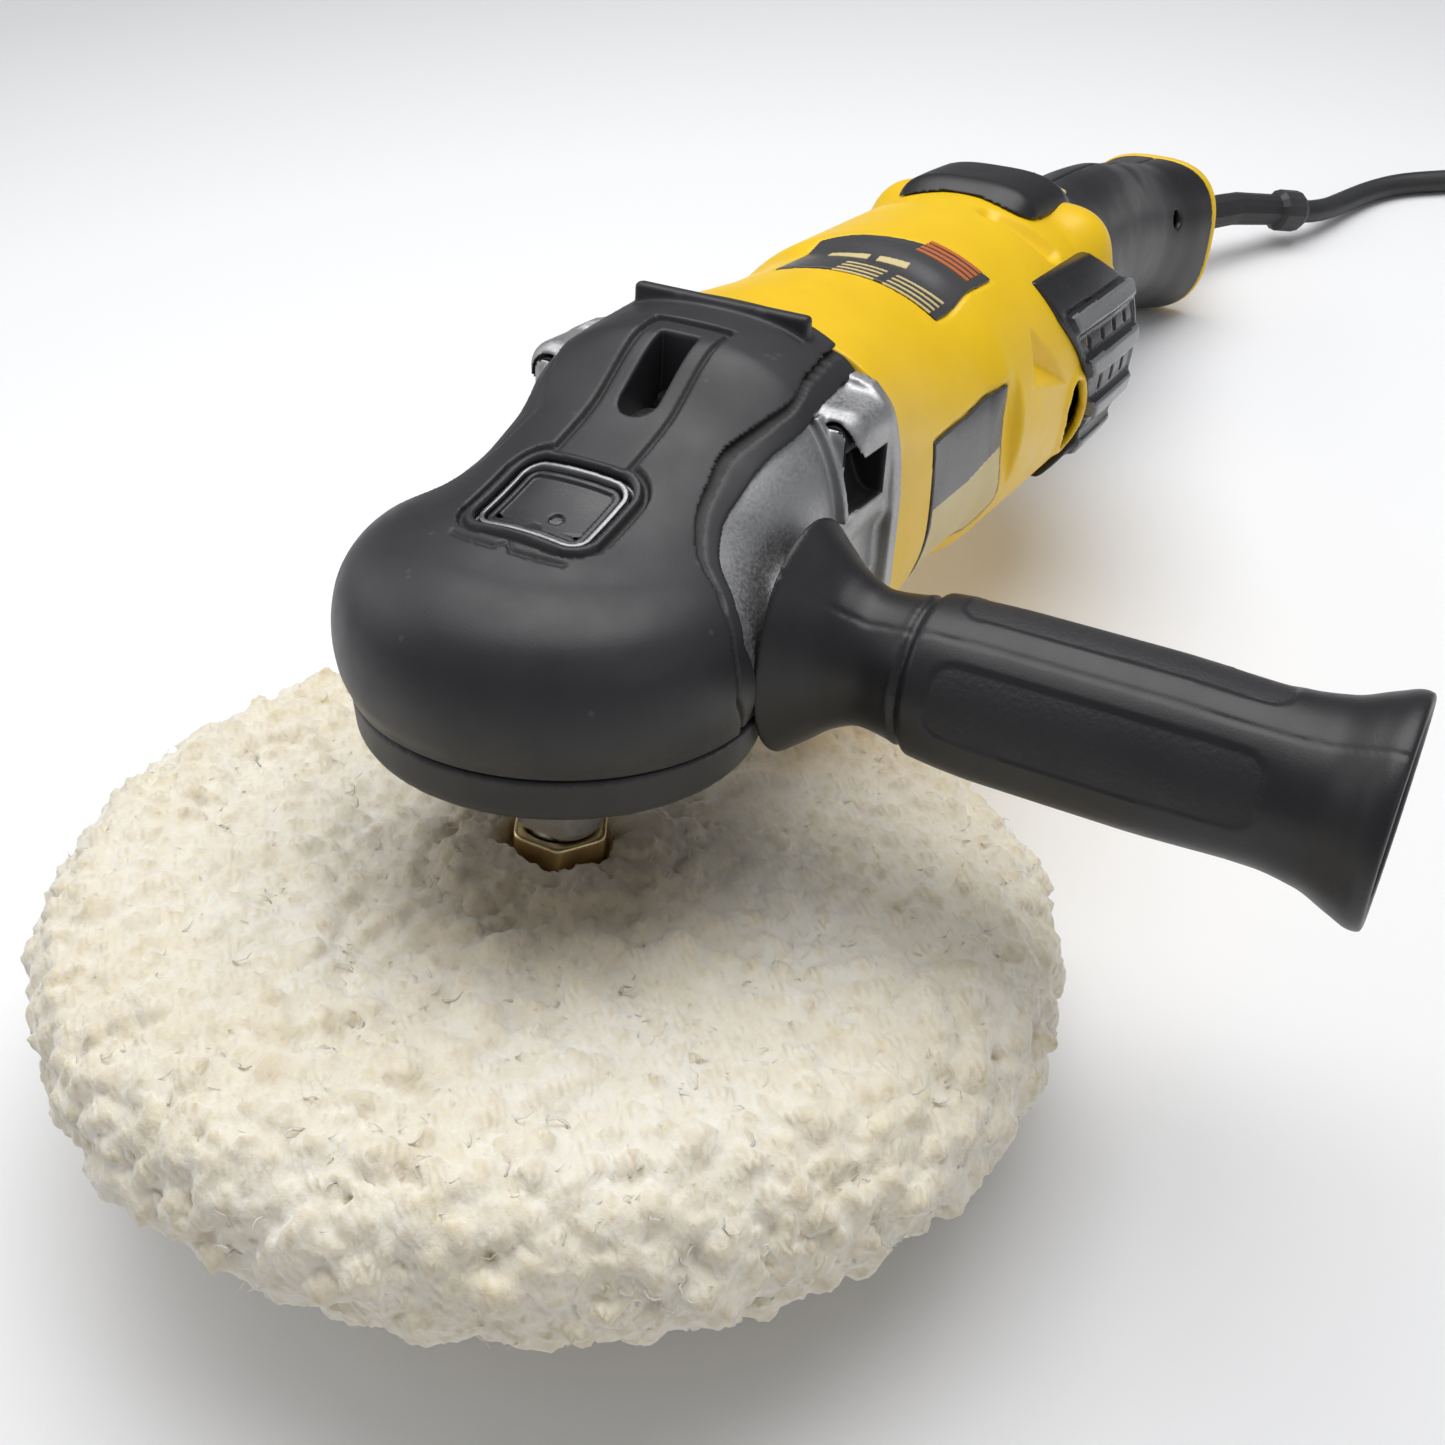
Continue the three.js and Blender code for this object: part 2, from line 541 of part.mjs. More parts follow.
function speedDial() {
  const shape = new THREE.Shape();
  const notches = 20;
  for (let i = 0; i < notches * 2; i += 1) {
    const r = i % 2 ? 8.6 : 9.3;
    const angle = (i / (notches * 2)) * TAU;
    if (i === 0) shape.moveTo(r, 0);
    else shape.lineTo(r * Math.cos(angle), r * Math.sin(angle));
  }
  const wheel = new THREE.ExtrudeGeometry(shape, { depth: 9, bevelEnabled: false });
  return wheel.translate(0, 0, -4.5).rotateX(Math.PI / 2).translate(-259, 0, 139.6);
}

// A carbon brush in its sleeve, beside the commutator. Heights are measured from the motor's axis.
function placeBrush(name, side) {
  const from = side > 0 ? 15.4 : -32;
  const to = side > 0 ? 32 : -15.4;
  const carbon = box([-217, side > 0 ? 14.2 : -27, -3.4], [-209, side > 0 ? 27 : -14.2, 3.4]);
  const sleeve = cut(solid(box([-220, from, -6.4], [-206, to, 6.4])),
    solid(box([-217.4, from - 3, -3.8], [-208.6, to + (side > 0 ? -3 : 3), 3.8])),
    solid(box([-217.4, from + 3, -3.8], [-208.6, to + 3, 3.8])));
  place(`brush_holder_${name}`, geometryOf(sleeve).translate(0, 0, motorAxisZ), 'brass');
  place(`brush_${name}`, carbon.translate(0, 0, motorAxisZ), 'carbon');
}

function makeMotor() {
  const dialClearance = aboutY(rod(10.6, -5.6, 5.6, 18)).translate(-259, 0, 139.6);
  place('motor_housing', cut(motorHousing(), solid(dialClearance)), 'yellowPlastic');
  for (const [name, side] of [['left', -1], ['right', 1]]) {
    place(`filter_cover_${name}`, filterCover(side), 'blackPlastic');
    place(`name_plate_${name}`, namePlate(side), 'label');
    placeBrush(name, side);
  }
  place('rating_plate', ratingPlate(), 'label');
  place('dial_cover', dialCover(), 'blackPlastic');
  place('speed_dial', speedDial(), 'blackPlastic');
}

// ---------------------------------------------------------------- rear handle
const handleSections = [
  { x: handle.front, z: 105, w: 23, up: 34, down: 28, n: 2.3 },
  { x: -312, z: 105, w: 21.5, up: 34.4, down: 27.5, n: 2.3 },
  { x: -340, z: 105, w: 19.8, up: 33, down: 27, n: 2.3 },
  { x: -365, z: 105, w: 18.6, up: 29.3, down: 27, n: 2.2 },
  { x: -386, z: 103, w: 19.2, up: 28.2, down: 26.5, n: 2.1 },
  { x: -402, z: 101, w: 22, up: 27.6, down: 28, n: 2.2 },
  { x: -416, z: 99, w: 25.4, up: 28.6, down: 30, n: 2.5 },
  { x: handle.rear, z: 97.5, w: 27.6, up: 29.4, down: 30, n: 2.8 },
];
const triggerSlot = { rear: -374, front: -310, half: 9.2 };
const handleScrewSeats = [[-302, 106], [-398, 111]]; // x and z
const relief = { start: -424, z: 95 };

function handleShell() {
  const inner = shrink(handleSections, handle.wall);
  inner[0] = { ...inner[0], x: handle.front + 2 };
  const slot = box([triggerSlot.rear, -triggerSlot.half, 60], [triggerSlot.front, triggerSlot.half, 92]);
  const button = aboutY(rod(5.4, -40, -10, 20)).translate(-338, 0, 112);
  const screws = handleScrewSeats.map(([x, z]) => solid(aboutY(rod(3.3, -60, 60, 16)).translate(x, 0, z)));
  const outlet = aboutX(rod(8.2, -450, -400, 24)).translate(0, 0, relief.z);
  return cut(solid(loft(handleSections, 24)), solid(loft(inner, 14)), solid(slot), solid(button),
    ...screws, solid(outlet));
}

function makeHandle() {
  const shell = handleShell();
  place('handle_right', shell.intersect(solid(box([-460, GAP / 2, 0], [-200, 80, 200]))), 'blackRubber');
  place('handle_left', shell.intersect(solid(box([-460, -80, 0], [-200, -GAP / 2, 200]))), 'blackRubber');
  handleScrewSeats.forEach(([x, z], i) => {
    const screw = aboutY(rod(2.9, -16.5, 16.5, 14)).translate(x, 0, z);
    place(`handle_screw_${i + 1}`, screw, 'steel');
  });
  const cap = cut(
    solid(loft([
      { x: handle.rear - GAP, z: 97.5, w: 28.2, up: 30, down: 30.3, n: 2.8 },
      { x: handle.rear - 4.8, z: 97.5, w: 27.2, up: 29, down: 29.3, n: 2.8 },
    ], 28)),
    solid(aboutX(rod(8.9, -450, -400, 24)).translate(0, 0, relief.z)),
  );
  place('end_cap', cap, 'yellowPlastic');

  const lever = sidePlate([
    [-314, 87], [-313, 79], [-320, 73], [-334, 70.5], [-352, 70.5], [-366, 73], [-371, 78], [-371, 87],
  ], -8.2, 8.2);
  place('trigger', lever, 'blackPlastic');
  place('trigger_spring', ring(2.4, 4.2, 87.4, 95.6, 16).translate(-360, 0, 0), 'steel');
  place('switch_body', box([-362, -12, 96], [-316, 12, 122]), 'blackPlastic');
  place('speed_module', box([-296, -13, 96], [-276, 13, 122]), 'blackPlastic');
  place('lock_on_button', aboutY(rod(4.8, -22, -14.8, 18)).translate(-338, 0, 112), 'blackPlastic');
}

// ---------------------------------------------------------------- side handle and fasteners
function makeSideHandle() {
  const sections = [
    [sideHandle.root, 23, 27], [50, 18.5, 23], [57, 14.2, 17.5], [63, 13.3, 15.2], [70, 14.6, 15.6],
    [73, 14.6, 15.4], [76, 17.6, 18], [92, 18.4, 18.6], [120, 18.5, 18.6], [146, 17.6, 17.8],
    [155, 18.6, 18.8], [162, 21.4, 21.6], [sideHandle.end - 1.5, 23.3, 23.4], [sideHandle.end, 22.8, 22.9],
  ].map(([x, w, up]) => ({ x, w, up }));
  const grip = solid(loft(sections, 20).rotateZ(Math.PI / 2).translate(sideHandle.x, 0, sideHandle.z));
  const hollow = aboutY(turned([[0, 128], [15.5, 128], [16, 155], [19.6, 163], [20.4, 175], [0, 175]], 16));
  const boltHole = aboutY(rod(4.6, 40, 65, 12));
  const moved = (geometry) => solid(geometry.translate(sideHandle.x, 0, sideHandle.z));
  place('side_handle', cut(grip, moved(hollow), moved(boltHole)), 'blackRubber');
  place('side_handle_stud', aboutY(rod(4.1, 33, 64, 12)).translate(sideHandle.x, 0, sideHandle.z), 'steel');
}

function makeCaseScrews() {
  caseScrewSeats.forEach(([x, y, z], i) => {
    const screw = aboutX(rod(3.6, -8, 9, 16)).translate(x, y, z);
    place(`case_screw_${i + 1}`, screw, 'carbon');
  });
}

// ---------------------------------------------------------------- strain relief, cord and plug
// The routes are in the part's own frame, with the floor at z = 0.
const reliefRoute = [[-300, -17.5, 24], [-318.4, -8.5, 22.3], [-338, 6.9, 17.2], [-353.3, 20, 12.2]];
const cordRoute = [
  [-354, 20.5, 12], [-361, 25, 10.2], [-371.7, 29, 8], [-386.3, 33.5, 6.2], [-404, 41, 5.1],
  [-417, 51.5, 4.9], [-428, 68, 4.9], [-440, 88, 4.9], [-452, 112, 4.9], [-461, 138, 4.9],
  [-466.5, 168, 4.9],
];
const tailRoute = [
  [-400, 229.75, 13], [-380, 228.7, 13], [-358, 225, 12.4], [-337, 219, 11.6], [-316, 212.7, 11],
];
const plug = { length: 40, halfWidth: 13, halfHeight: 10, bladeLength: 17 };

function makeCord(lowered) {
  const start = new THREE.Vector3(relief.start, 0, relief.z).applyMatrix4(lowered);
  const mouth = new THREE.Vector3(handle.rear - 10, 0, relief.z).applyMatrix4(lowered);
  const taper = [[0, 7.7], [0.16, 7.6], [0.4, 7.2], [0.65, 6.8],
    [0.86, 6.4], [0.88, 8.6], [0.97, 8.6], [1, 6.6]];
  const sleeve = taperedBar([start.toArray(), mouth.toArray(), ...reliefRoute], taper, 14);
  place('strain_relief', sleeve, 'blackRubber', part);

  const coilRoom = solid(rod(coil.outer + GAP, -5, coil.top + 4, 48).translate(coil.x, coil.y, 0));
  const lead = solid(bar(cordRoute, cord.radius, cord.sides, 26));
  place('power_cord', cut(lead, coilRoom), 'blackRubber', part);
  const tail = solid(bar(tailRoute, cord.radius, cord.sides, 10));
  place('cord_tail', cut(tail, coilRoom), 'blackRubber', part);
  place('cord_coil', ring(coil.inner, coil.outer, 0.15, coil.top, 32).translate(coil.x, coil.y, 0),
    'blackRubber', part);
}

function makePlug() {
  const [before, end] = tailRoute.slice(-2);
  const heading = Math.atan2(end[1] - before[1], end[0] - before[0]);
  const { length, halfWidth, halfHeight } = plug;
  const body = loft([
    { x: GAP, w: 6, up: 5.6 }, { x: 9, w: 6.6, up: 6.2 }, { x: 15, w: 11, up: 9, n: 2.6 },
    { x: 24, w: halfWidth, up: halfHeight, n: 3 }, { x: length - 1, w: halfWidth, up: halfHeight, n: 3 },
    { x: length, w: halfWidth - 1, up: halfHeight - 1, n: 3 },
  ], 20);
  const set = (geometry) => geometry.rotateZ(heading).translate(...end);
  place('plug', set(body), 'blackRubber', part);
  [-6.4, 6.4].forEach((offset, i) => {
    const from = [length + GAP, offset - 0.8, -3.2];
    const blade = box(from, [length + plug.bladeLength, offset + 0.8, 3.2]);
    place(`plug_blade_${i + 1}`, set(blade), 'brass', part);
  });
}

// ---------------------------------------------------------------- standing the tool on its pad
// Both rests are round edges in the X-Z plane, so the lean is that of their common tangent.
const padEdge = { x: -(pad.radius - pad.edgeBelow), z: pad.edgeBelow, r: pad.edgeBelow };
const capEdge = { x: handle.rear - GAP, z: 97.5 - 30.3, r: 0 };
const across = padEdge.x - capEdge.x;
const rise = padEdge.z - capEdge.z;
const lean = Math.asin((padEdge.r - capEdge.r) / Math.hypot(across, rise)) - Math.atan2(rise, across);

makePad();
makeSpindle();
makeHead();
makeDrive();
makeMotor();
makeHandle();
makeSideHandle();
makeCaseScrews();

tool.rotation.y = -lean;
tool.updateMatrixWorld(true);
const standing = new THREE.Box3().setFromObject(tool, true);
const middle = standing.getCenter(new THREE.Vector3());
tool.position.set(-middle.x, -middle.y, -standing.min.z);
tool.updateMatrixWorld(true);
makeCord(tool.matrixWorld);
makePlug();

export default part;
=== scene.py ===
# Rotary polisher: the looks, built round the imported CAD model.
# Shapes are drawn in the tool's own frame, in millimetres: origin at the centre of the pad's
# underside, +Z up the spindle, +X towards the nose, +Y towards the side handle. TOOL takes them to
# the part's frame, in metres. Moulded pieces are drawn as signed distances on a grid and meshed.
import json
import math
import random

import bpy
import numpy as np
import openvdb
from mathutils import Matrix, Vector
from mathutils.noise import noise as fine_noise


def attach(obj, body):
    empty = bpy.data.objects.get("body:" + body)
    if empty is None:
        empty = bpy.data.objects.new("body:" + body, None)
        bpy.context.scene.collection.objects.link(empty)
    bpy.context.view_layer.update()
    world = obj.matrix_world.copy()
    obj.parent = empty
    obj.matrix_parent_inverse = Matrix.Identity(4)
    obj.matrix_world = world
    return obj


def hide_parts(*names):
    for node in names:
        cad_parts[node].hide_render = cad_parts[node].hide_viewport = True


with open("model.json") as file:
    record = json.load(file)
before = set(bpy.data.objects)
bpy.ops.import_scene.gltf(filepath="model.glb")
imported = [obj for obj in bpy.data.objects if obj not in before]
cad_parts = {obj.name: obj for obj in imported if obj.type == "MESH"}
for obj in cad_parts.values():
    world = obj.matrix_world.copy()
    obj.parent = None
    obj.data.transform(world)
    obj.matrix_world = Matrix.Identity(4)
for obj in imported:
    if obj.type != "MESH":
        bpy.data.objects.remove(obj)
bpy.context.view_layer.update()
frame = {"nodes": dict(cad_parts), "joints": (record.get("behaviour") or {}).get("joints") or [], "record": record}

MM = 0.001
MOTOR_Z = 103.0  # height of the motor's axis
TAU = 2 * math.pi


# ------------------------------------------------------------------ frames
def tool_matrix():
    """The tool's frame in the part's frame, read from the spindle joint."""
    spindle = next(j for j in frame["joints"] if j["name"] == "spindle_spin")
    up = Vector(spindle["axis"]).normalized()
    side = Vector((0, 1, 0))
    nose = side.cross(up)
    turn = Matrix((nose, side, up)).transposed().to_4x4()
    return Matrix.Translation(spindle["pos_m"]) @ turn


TOOL = tool_matrix()


def at(x, y, z):
    """A point of the tool's frame, in millimetres, in the part's frame, in metres."""
    return TOOL @ Vector((x * MM, y * MM, z * MM))


# ------------------------------------------------------------------ camera
def make_camera():
    data = bpy.data.cameras.new("camera")
    data.sensor_width = 36
    data.lens = 41.53
    data.clip_start, data.clip_end = 0.01, 20
    camera = bpy.data.objects.new("camera", data)
    bpy.context.scene.collection.objects.link(camera)
    right = Vector((-0.48282, 0.87401, 0.05467))
    up = Vector((-0.42030, -0.28604, 0.86112))
    back = Vector((0.76826, 0.39279, 0.50546))
    turn = Matrix((right, up, back)).transposed().to_4x4()
    camera.matrix_world = TOOL @ Matrix.Translation(Vector((265.2, 175.3, 260.0)) * MM) @ turn
    bpy.context.scene.camera = camera


make_camera()


# ------------------------------------------------------------------ materials
def new_material(name):
    material = bpy.data.materials.new(name)
    material.use_nodes = True
    nodes = material.node_tree.nodes
    return material, nodes, material.node_tree.links, nodes["Principled BSDF"]


def add(nodes, kind, **values):
    node = nodes.new(kind)
    for name, value in values.items():
        if hasattr(node, name):
            setattr(node, name, value)
        else:
            node.inputs[name.replace("_", " ")].default_value = value
    return node


def noise(nodes, links, scale, detail=3.0, roughness=0.55):
    """Noise in the piece's own place, in metres."""
    place = nodes.get("place") or add(nodes, "ShaderNodeTexCoord")
    place.name = "place"
    made = add(nodes, "ShaderNodeTexNoise", Scale=scale, Detail=detail, Roughness=roughness)
    links.new(place.outputs["Object"], made.inputs["Vector"])
    return made.outputs["Fac"]


def ramp(nodes, links, value, stops):
    """A colour by value; stops are (place, colour) or (place, grey)."""
    made = add(nodes, "ShaderNodeValToRGB")
    elements = made.color_ramp.elements
    while len(elements) < len(stops):
        elements.new(0.5)
    for element, (place, colour) in zip(elements, stops):
        element.position = place
        element.color = (*colour, 1) if isinstance(colour, tuple) else (colour, colour, colour, 1)
    links.new(value, made.inputs["Fac"])
    return made.outputs["Color"]


def bumped(nodes, links, shader, layers):
    """Bump from [(height socket, distance in metres, strength)], each on top of the last."""
    normal = None
    for height, distance, strength in layers:
        made = add(nodes, "ShaderNodeBump", Strength=strength, Distance=distance)
        links.new(height, made.inputs["Height"])
        if normal is not None:
            links.new(normal, made.inputs["Normal"])
        normal = made.outputs["Normal"]
    links.new(normal, shader.inputs["Normal"])


def convex_edges(nodes, links, low=0.52, high=0.62):
    """1 along convex edges, 0 elsewhere."""
    geometry = add(nodes, "ShaderNodeNewGeometry")
    return ramp(nodes, links, geometry.outputs["Pointiness"], [(low, 0), (high, 1)])


def mixed(nodes, links, share, first, second):
    """A colour mix; share, first and second are sockets or colours."""
    made = add(nodes, "ShaderNodeMix", data_type="RGBA")
    for index, value in ((0, share), (6, first), (7, second)):
        if isinstance(value, (tuple, float)):
            made.inputs[index].default_value = (*value, 1) if isinstance(value, tuple) else value
        else:
            links.new(value, made.inputs[index])
    return made.outputs[2]


def moulded(name, dark, light, rough=(0.45, 0.6), grain=0.00006, grain_scale=2600, edge=None):
    """Moulded plastic or rubber: two close shades in slow patches, fine grain and a lighter colour along convex
    edges.
    """
    material, nodes, links, shader = new_material(name)
    patches = noise(nodes, links, 28, 4)
    colour = ramp(nodes, links, patches, [(0.3, dark), (0.7, light)])
    if edge:
        share = convex_edges(nodes, links)
        colour = mixed(nodes, links, share, colour, edge)
    links.new(colour, shader.inputs["Base Color"])
    shine = noise(nodes, links, 90, 3)
    shine = ramp(nodes, links, shine, [(0.3, rough[0]), (0.7, rough[1])])
    links.new(shine, shader.inputs["Roughness"])
    fine = noise(nodes, links, grain_scale, 2)
    bumped(nodes, links, shader, [(fine, grain, 0.5)])
    return material


def metal(name, dark, light, rough=(0.3, 0.45), brushed=None, grain=0.00003):
    """Metal with patchy shade; brushed is the stretch of its fine scratches along X, Y and Z."""
    material, nodes, links, shader = new_material(name)
    shader.inputs["Metallic"].default_value = 1
    patches = noise(nodes, links, 60, 4)
    links.new(ramp(nodes, links, patches, [(0.3, dark), (0.7, light)]), shader.inputs["Base Color"])
    place = nodes["place"]
    scratches = add(nodes, "ShaderNodeTexNoise", Scale=1200.0, Detail=3.0)
    if brushed:
        mapping = add(nodes, "ShaderNodeMapping")
        mapping.inputs["Scale"].default_value = brushed
        links.new(place.outputs["Object"], mapping.inputs["Vector"])
        links.new(mapping.outputs["Vector"], scratches.inputs["Vector"])
    else:
        links.new(place.outputs["Object"], scratches.inputs["Vector"])
    shine = ramp(nodes, links, scratches.outputs["Fac"], [(0.35, rough[0]), (0.65, rough[1])])
    links.new(shine, shader.inputs["Roughness"])
    bumped(nodes, links, shader, [(scratches.outputs["Fac"], grain, 0.5)])
    return material


def wool_material(name, hollow_shade):
    material, nodes, links, shader = new_material(name)
    patches = noise(nodes, links, 22, 4, 0.6)
    tufts = noise(nodes, links, 150, 3, 0.6)
    base = ramp(nodes, links, patches, [(0.34, (0.80, 0.71, 0.52)), (0.62, (0.88, 0.83, 0.71))])
    deep = ramp(nodes, links, tufts, [(0.3, (0.80, 0.72, 0.54)), (0.6, (0.90, 0.86, 0.76))])
    colour = mixed(nodes, links, 0.5, base, deep)
    geometry = add(nodes, "ShaderNodeNewGeometry")
    # Painted shade in the pile's hollows: faces of low pointiness get the darker colour passed in.
    hollow = ramp(nodes, links, geometry.outputs["Pointiness"], [(0.40, 1), (0.5, 0)])
    colour = mixed(nodes, links, hollow, colour, hollow_shade)
    # Painted shadow: the wool darkens towards a point just beside the spindle, under the gear head, where the
    # head's shadow falls.
    away = add(nodes, "ShaderNodeVectorMath", operation="DISTANCE")
    links.new(nodes["place"].outputs["Object"], away.inputs[0])
    away.inputs[1].default_value = at(8, 6, 44)
    middle = ramp(nodes, links, away.outputs["Value"], [(0.018, 1), (0.052, 0)])
    colour = mixed(nodes, links, middle, colour, (0.55, 0.46, 0.32))
    links.new(colour, shader.inputs["Base Color"])
    shader.inputs["Roughness"].default_value = 1.0
    shader.inputs["Specular IOR Level"].default_value = 0.1
    shader.inputs["Sheen Weight"].default_value = 0.5
    shader.inputs["Sheen Roughness"].default_value = 0.6
    shader.inputs["Subsurface Weight"].default_value = 0.45
    shader.inputs["Subsurface Radius"].default_value = (1.0, 0.8, 0.5)
    shader.inputs["Subsurface Scale"].default_value = 0.004
    fibres = noise(nodes, links, 900, 4, 0.7)
    curls = noise(nodes, links, 420, 3, 0.6)
    bumped(nodes, links, shader, [(curls, 0.0009, 0.5), (fibres, 0.0004, 0.6)])
    return material


def stage_material():
    """A pale sweep whose colour darkens slowly with distance behind the tool: painted falloff of the light."""
    material, nodes, links, shader = new_material("studio_floor")
    place = add(nodes, "ShaderNodeTexCoord")
    away = add(nodes, "ShaderNodeVectorMath", operation="DISTANCE")
    links.new(place.outputs["Object"], away.inputs[0])
    away.inputs[1].default_value = (0.25, 0.1, 0)
    scaled = add(nodes, "ShaderNodeMath", operation="MULTIPLY")
    links.new(away.outputs["Value"], scaled.inputs[0])
    scaled.inputs[1].default_value = 0.4
    stops = [(0.16, 0.92), (0.28, 0.84), (0.42, 0.66), (0.62, 0.55), (1.0, 0.50)]
    shade = ramp(nodes, links, scaled.outputs["Value"], [(p, (v, v, v * 1.004)) for p, v in stops])
    links.new(shade, shader.inputs["Base Color"])
    shader.inputs["Roughness"].default_value = 0.6
    shader.inputs["Specular IOR Level"].default_value = 0.2
    return material


RUBBER = moulded("charcoal_cover", (0.017, 0.017, 0.019), (0.024, 0.024, 0.026), (0.40, 0.52),
                 edge=(0.045, 0.045, 0.047))
GRIP = moulded("charcoal_grip", (0.010, 0.010, 0.011), (0.015, 0.014, 0.016), (0.36, 0.44))
PANEL = moulded("pebbled_grip", (0.014, 0.013, 0.015), (0.020, 0.019, 0.021), (0.5, 0.62), 0.0004, 900)
GLOSS = moulded("glossy_black", (0.014, 0.014, 0.016), (0.020, 0.020, 0.022), (0.2, 0.3))
GREY = moulded("grey_rib", (0.15, 0.155, 0.16), (0.19, 0.195, 0.20), (0.22, 0.3))
PALE = moulded("pale_print", (0.62, 0.50, 0.22), (0.70, 0.58, 0.30), (0.4, 0.5))
ORANGE = moulded("orange_print", (0.45, 0.11, 0.03), (0.54, 0.15, 0.04), (0.4, 0.5))
BLACK = moulded("black_plastic", (0.020, 0.020, 0.022), (0.030, 0.030, 0.032), (0.25, 0.38))
YELLOW = moulded("yellow_plastic", (0.86, 0.53, 0.002), (0.93, 0.60, 0.003), (0.32, 0.44),
                 grain=0.00005, grain_scale=1800)
CAST = metal("cast_aluminium", (0.36, 0.36, 0.365), (0.50, 0.50, 0.50), (0.42, 0.6), grain=0.00010)
BRIGHT = metal("bright_aluminium", (0.22, 0.22, 0.23), (0.32, 0.32, 0.33), (0.34, 0.44))
STEEL = metal("turned_steel", (0.50, 0.50, 0.51), (0.64, 0.64, 0.65), (0.25, 0.4), (1, 1, 14))
BRASS = metal("brass", (0.66, 0.50, 0.24), (0.80, 0.64, 0.36), (0.28, 0.42), (1, 1, 10))
COPPER = metal("copper", (0.62, 0.30, 0.16), (0.75, 0.40, 0.24), (0.3, 0.4))
CORD = moulded("cord_rubber", (0.022, 0.022, 0.023), (0.034, 0.034, 0.035), (0.42, 0.55))
# Near-black material: real carbon for the CAD's carbon parts, and painted shade in the cover's grooves and the
# screw pockets.
CARBON_AND_SHADE = moulded("carbon", (0.012, 0.012, 0.012), (0.02, 0.02, 0.02), (0.5, 0.7))
PLATE = moulded("plate_film", (0.050, 0.050, 0.053), (0.062, 0.062, 0.065), (0.22, 0.3), grain=0.00001)
# The second argument is the painted shade colour for the hollows of the pile; the wisps get a paler one.
WOOL = wool_material("cream_wool", (0.64, 0.54, 0.37))
WISP = wool_material("cream_wisps", (0.84, 0.78, 0.64))


# ------------------------------------------------------------------ meshes and pieces
def new_piece(name, points, faces, material, body="root", smooth=True):
    """A piece from points in the part's frame, in metres."""
    mesh = bpy.data.meshes.new(name)
    mesh.from_pydata([tuple(p) for p in points], [], [tuple(f) for f in faces])
    mesh.validate()
    piece = bpy.data.objects.new(name, mesh)
    bpy.context.scene.collection.objects.link(piece)
    mesh.materials.append(material)
    if smooth:
        mesh.shade_smooth()
    if body:
        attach(piece, body)
    return piece


def grid_mesh(draw, low, high, step):
    """The surface where draw(x, y, z) is zero, as points and quads in the drawing's own frame."""
    low = [v - 4 * step for v in low]
    axes = [np.arange(a, b + 4 * step, step, dtype=np.float32) for a, b in zip(low, high)]
    x, y, z = np.meshgrid(*axes, indexing="ij", sparse=True)
    distance = np.broadcast_to(draw(x, y, z), [len(a) for a in axes]).astype(np.float32)
    band = 3 * step
    grid = openvdb.FloatGrid(background=band)
    grid.copyFromArray(np.ascontiguousarray(np.clip(distance, -band, band)))
    points, quads = grid.convertToQuads(isovalue=0.0)
    return np.asarray(points, float) * step + np.array(low), np.asarray(quads)[:, ::-1]


def to_part(points):
    """Points of the tool's frame, in millimetres, in the part's frame, in metres."""
    turn = np.array(TOOL.to_3x3())
    return points * MM @ turn.T + np.array(TOOL.translation)


def relaxed(points, faces, rounds):
    """Points drawn towards the middle of their neighbours and back, which keeps the size."""
    edges = np.concatenate([faces[:, [0, 1]], faces[:, [1, 2]], faces[:, [2, 3]], faces[:, [3, 0]]])
    edges = np.concatenate([edges, edges[:, ::-1]])
    count = np.bincount(edges[:, 0], minlength=len(points))[:, None]
    for _ in range(rounds):
        for share in (0.5, -0.52):
            middle = np.stack(
                [np.bincount(edges[:, 0], points[edges[:, 1], k], len(points)) for k in range(3)], 1
            ) / np.maximum(count, 1)
            points = points + share * (middle - points)
    return points


def moulding(name, draw, low, high, step, material, replaced=(), body="root", rounds=3):
    """A moulded piece from signed distances in the tool's frame."""
    points, quads = grid_mesh(draw, low, high, step)
    points = to_part(relaxed(points, quads, rounds))
    piece = new_piece(name, points, quads, material, body)
    if replaced:
        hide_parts(*replaced)
    return piece


def paint(piece, material, where):
    """Give the faces where the drawing is negative another material."""
    mesh = piece.data
    mesh.materials.append(material)
    centres = np.empty(3 * len(mesh.polygons))
    mesh.polygons.foreach_get("center", centres)
    offset = centres.reshape(-1, 3) - np.array(TOOL.translation)
    x, y, z = (offset @ np.array(TOOL.to_3x3()) / MM).T
    index = (where(x, y, z) < 0).astype(np.int32)
    mesh.polygons.foreach_set("material_index", index)


# ------------------------------------------------------------------ signed distances, in millimetres
def blend_in(a, b, k):
    """The union of two bodies with a fillet of about k."""
    share = np.clip(0.5 + 0.5 * (b - a) / k, 0, 1)
    return b + (a - b) * share - k * share * (1 - share)


def both(a, b, k=0.0):
    """What two bodies share, with its new edges rounded by about k."""
    return -blend_in(-a, -b, k) if k else np.maximum(a, b)


def less(a, b, k=0.0):
    """a with b cut out of it."""
    return both(a, -b, k)


def smooth_curve(table, places):
    """Values at places on a smooth curve through (place, value) points, with no overshoot."""
    xs, ys = np.array(sorted(table), float).T
    steps = np.diff(ys) / np.diff(xs)
    slopes = np.zeros(len(xs))
    same = steps[:-1] * steps[1:] > 0
    slopes[1:-1][same] = 2 * steps[:-1][same] * steps[1:][same] / (steps[:-1] + steps[1:])[same]
    slopes[0], slopes[-1] = steps[0], steps[-1]
    places = np.clip(places, xs[0], xs[-1])
    i = np.clip(np.searchsorted(xs, places) - 1, 0, len(steps) - 1)
    width = xs[i + 1] - xs[i]
    t = (places - xs[i]) / width
    a, b = ys[i], ys[i + 1]
    return (
        a * (1 + 2 * t) * (1 - t) ** 2
        + b * t * t * (3 - 2 * t)
        + width * (slopes[i] * t * (1 - t) ** 2 - slopes[i + 1] * t * t * (1 - t))
    ).astype(np.float32)


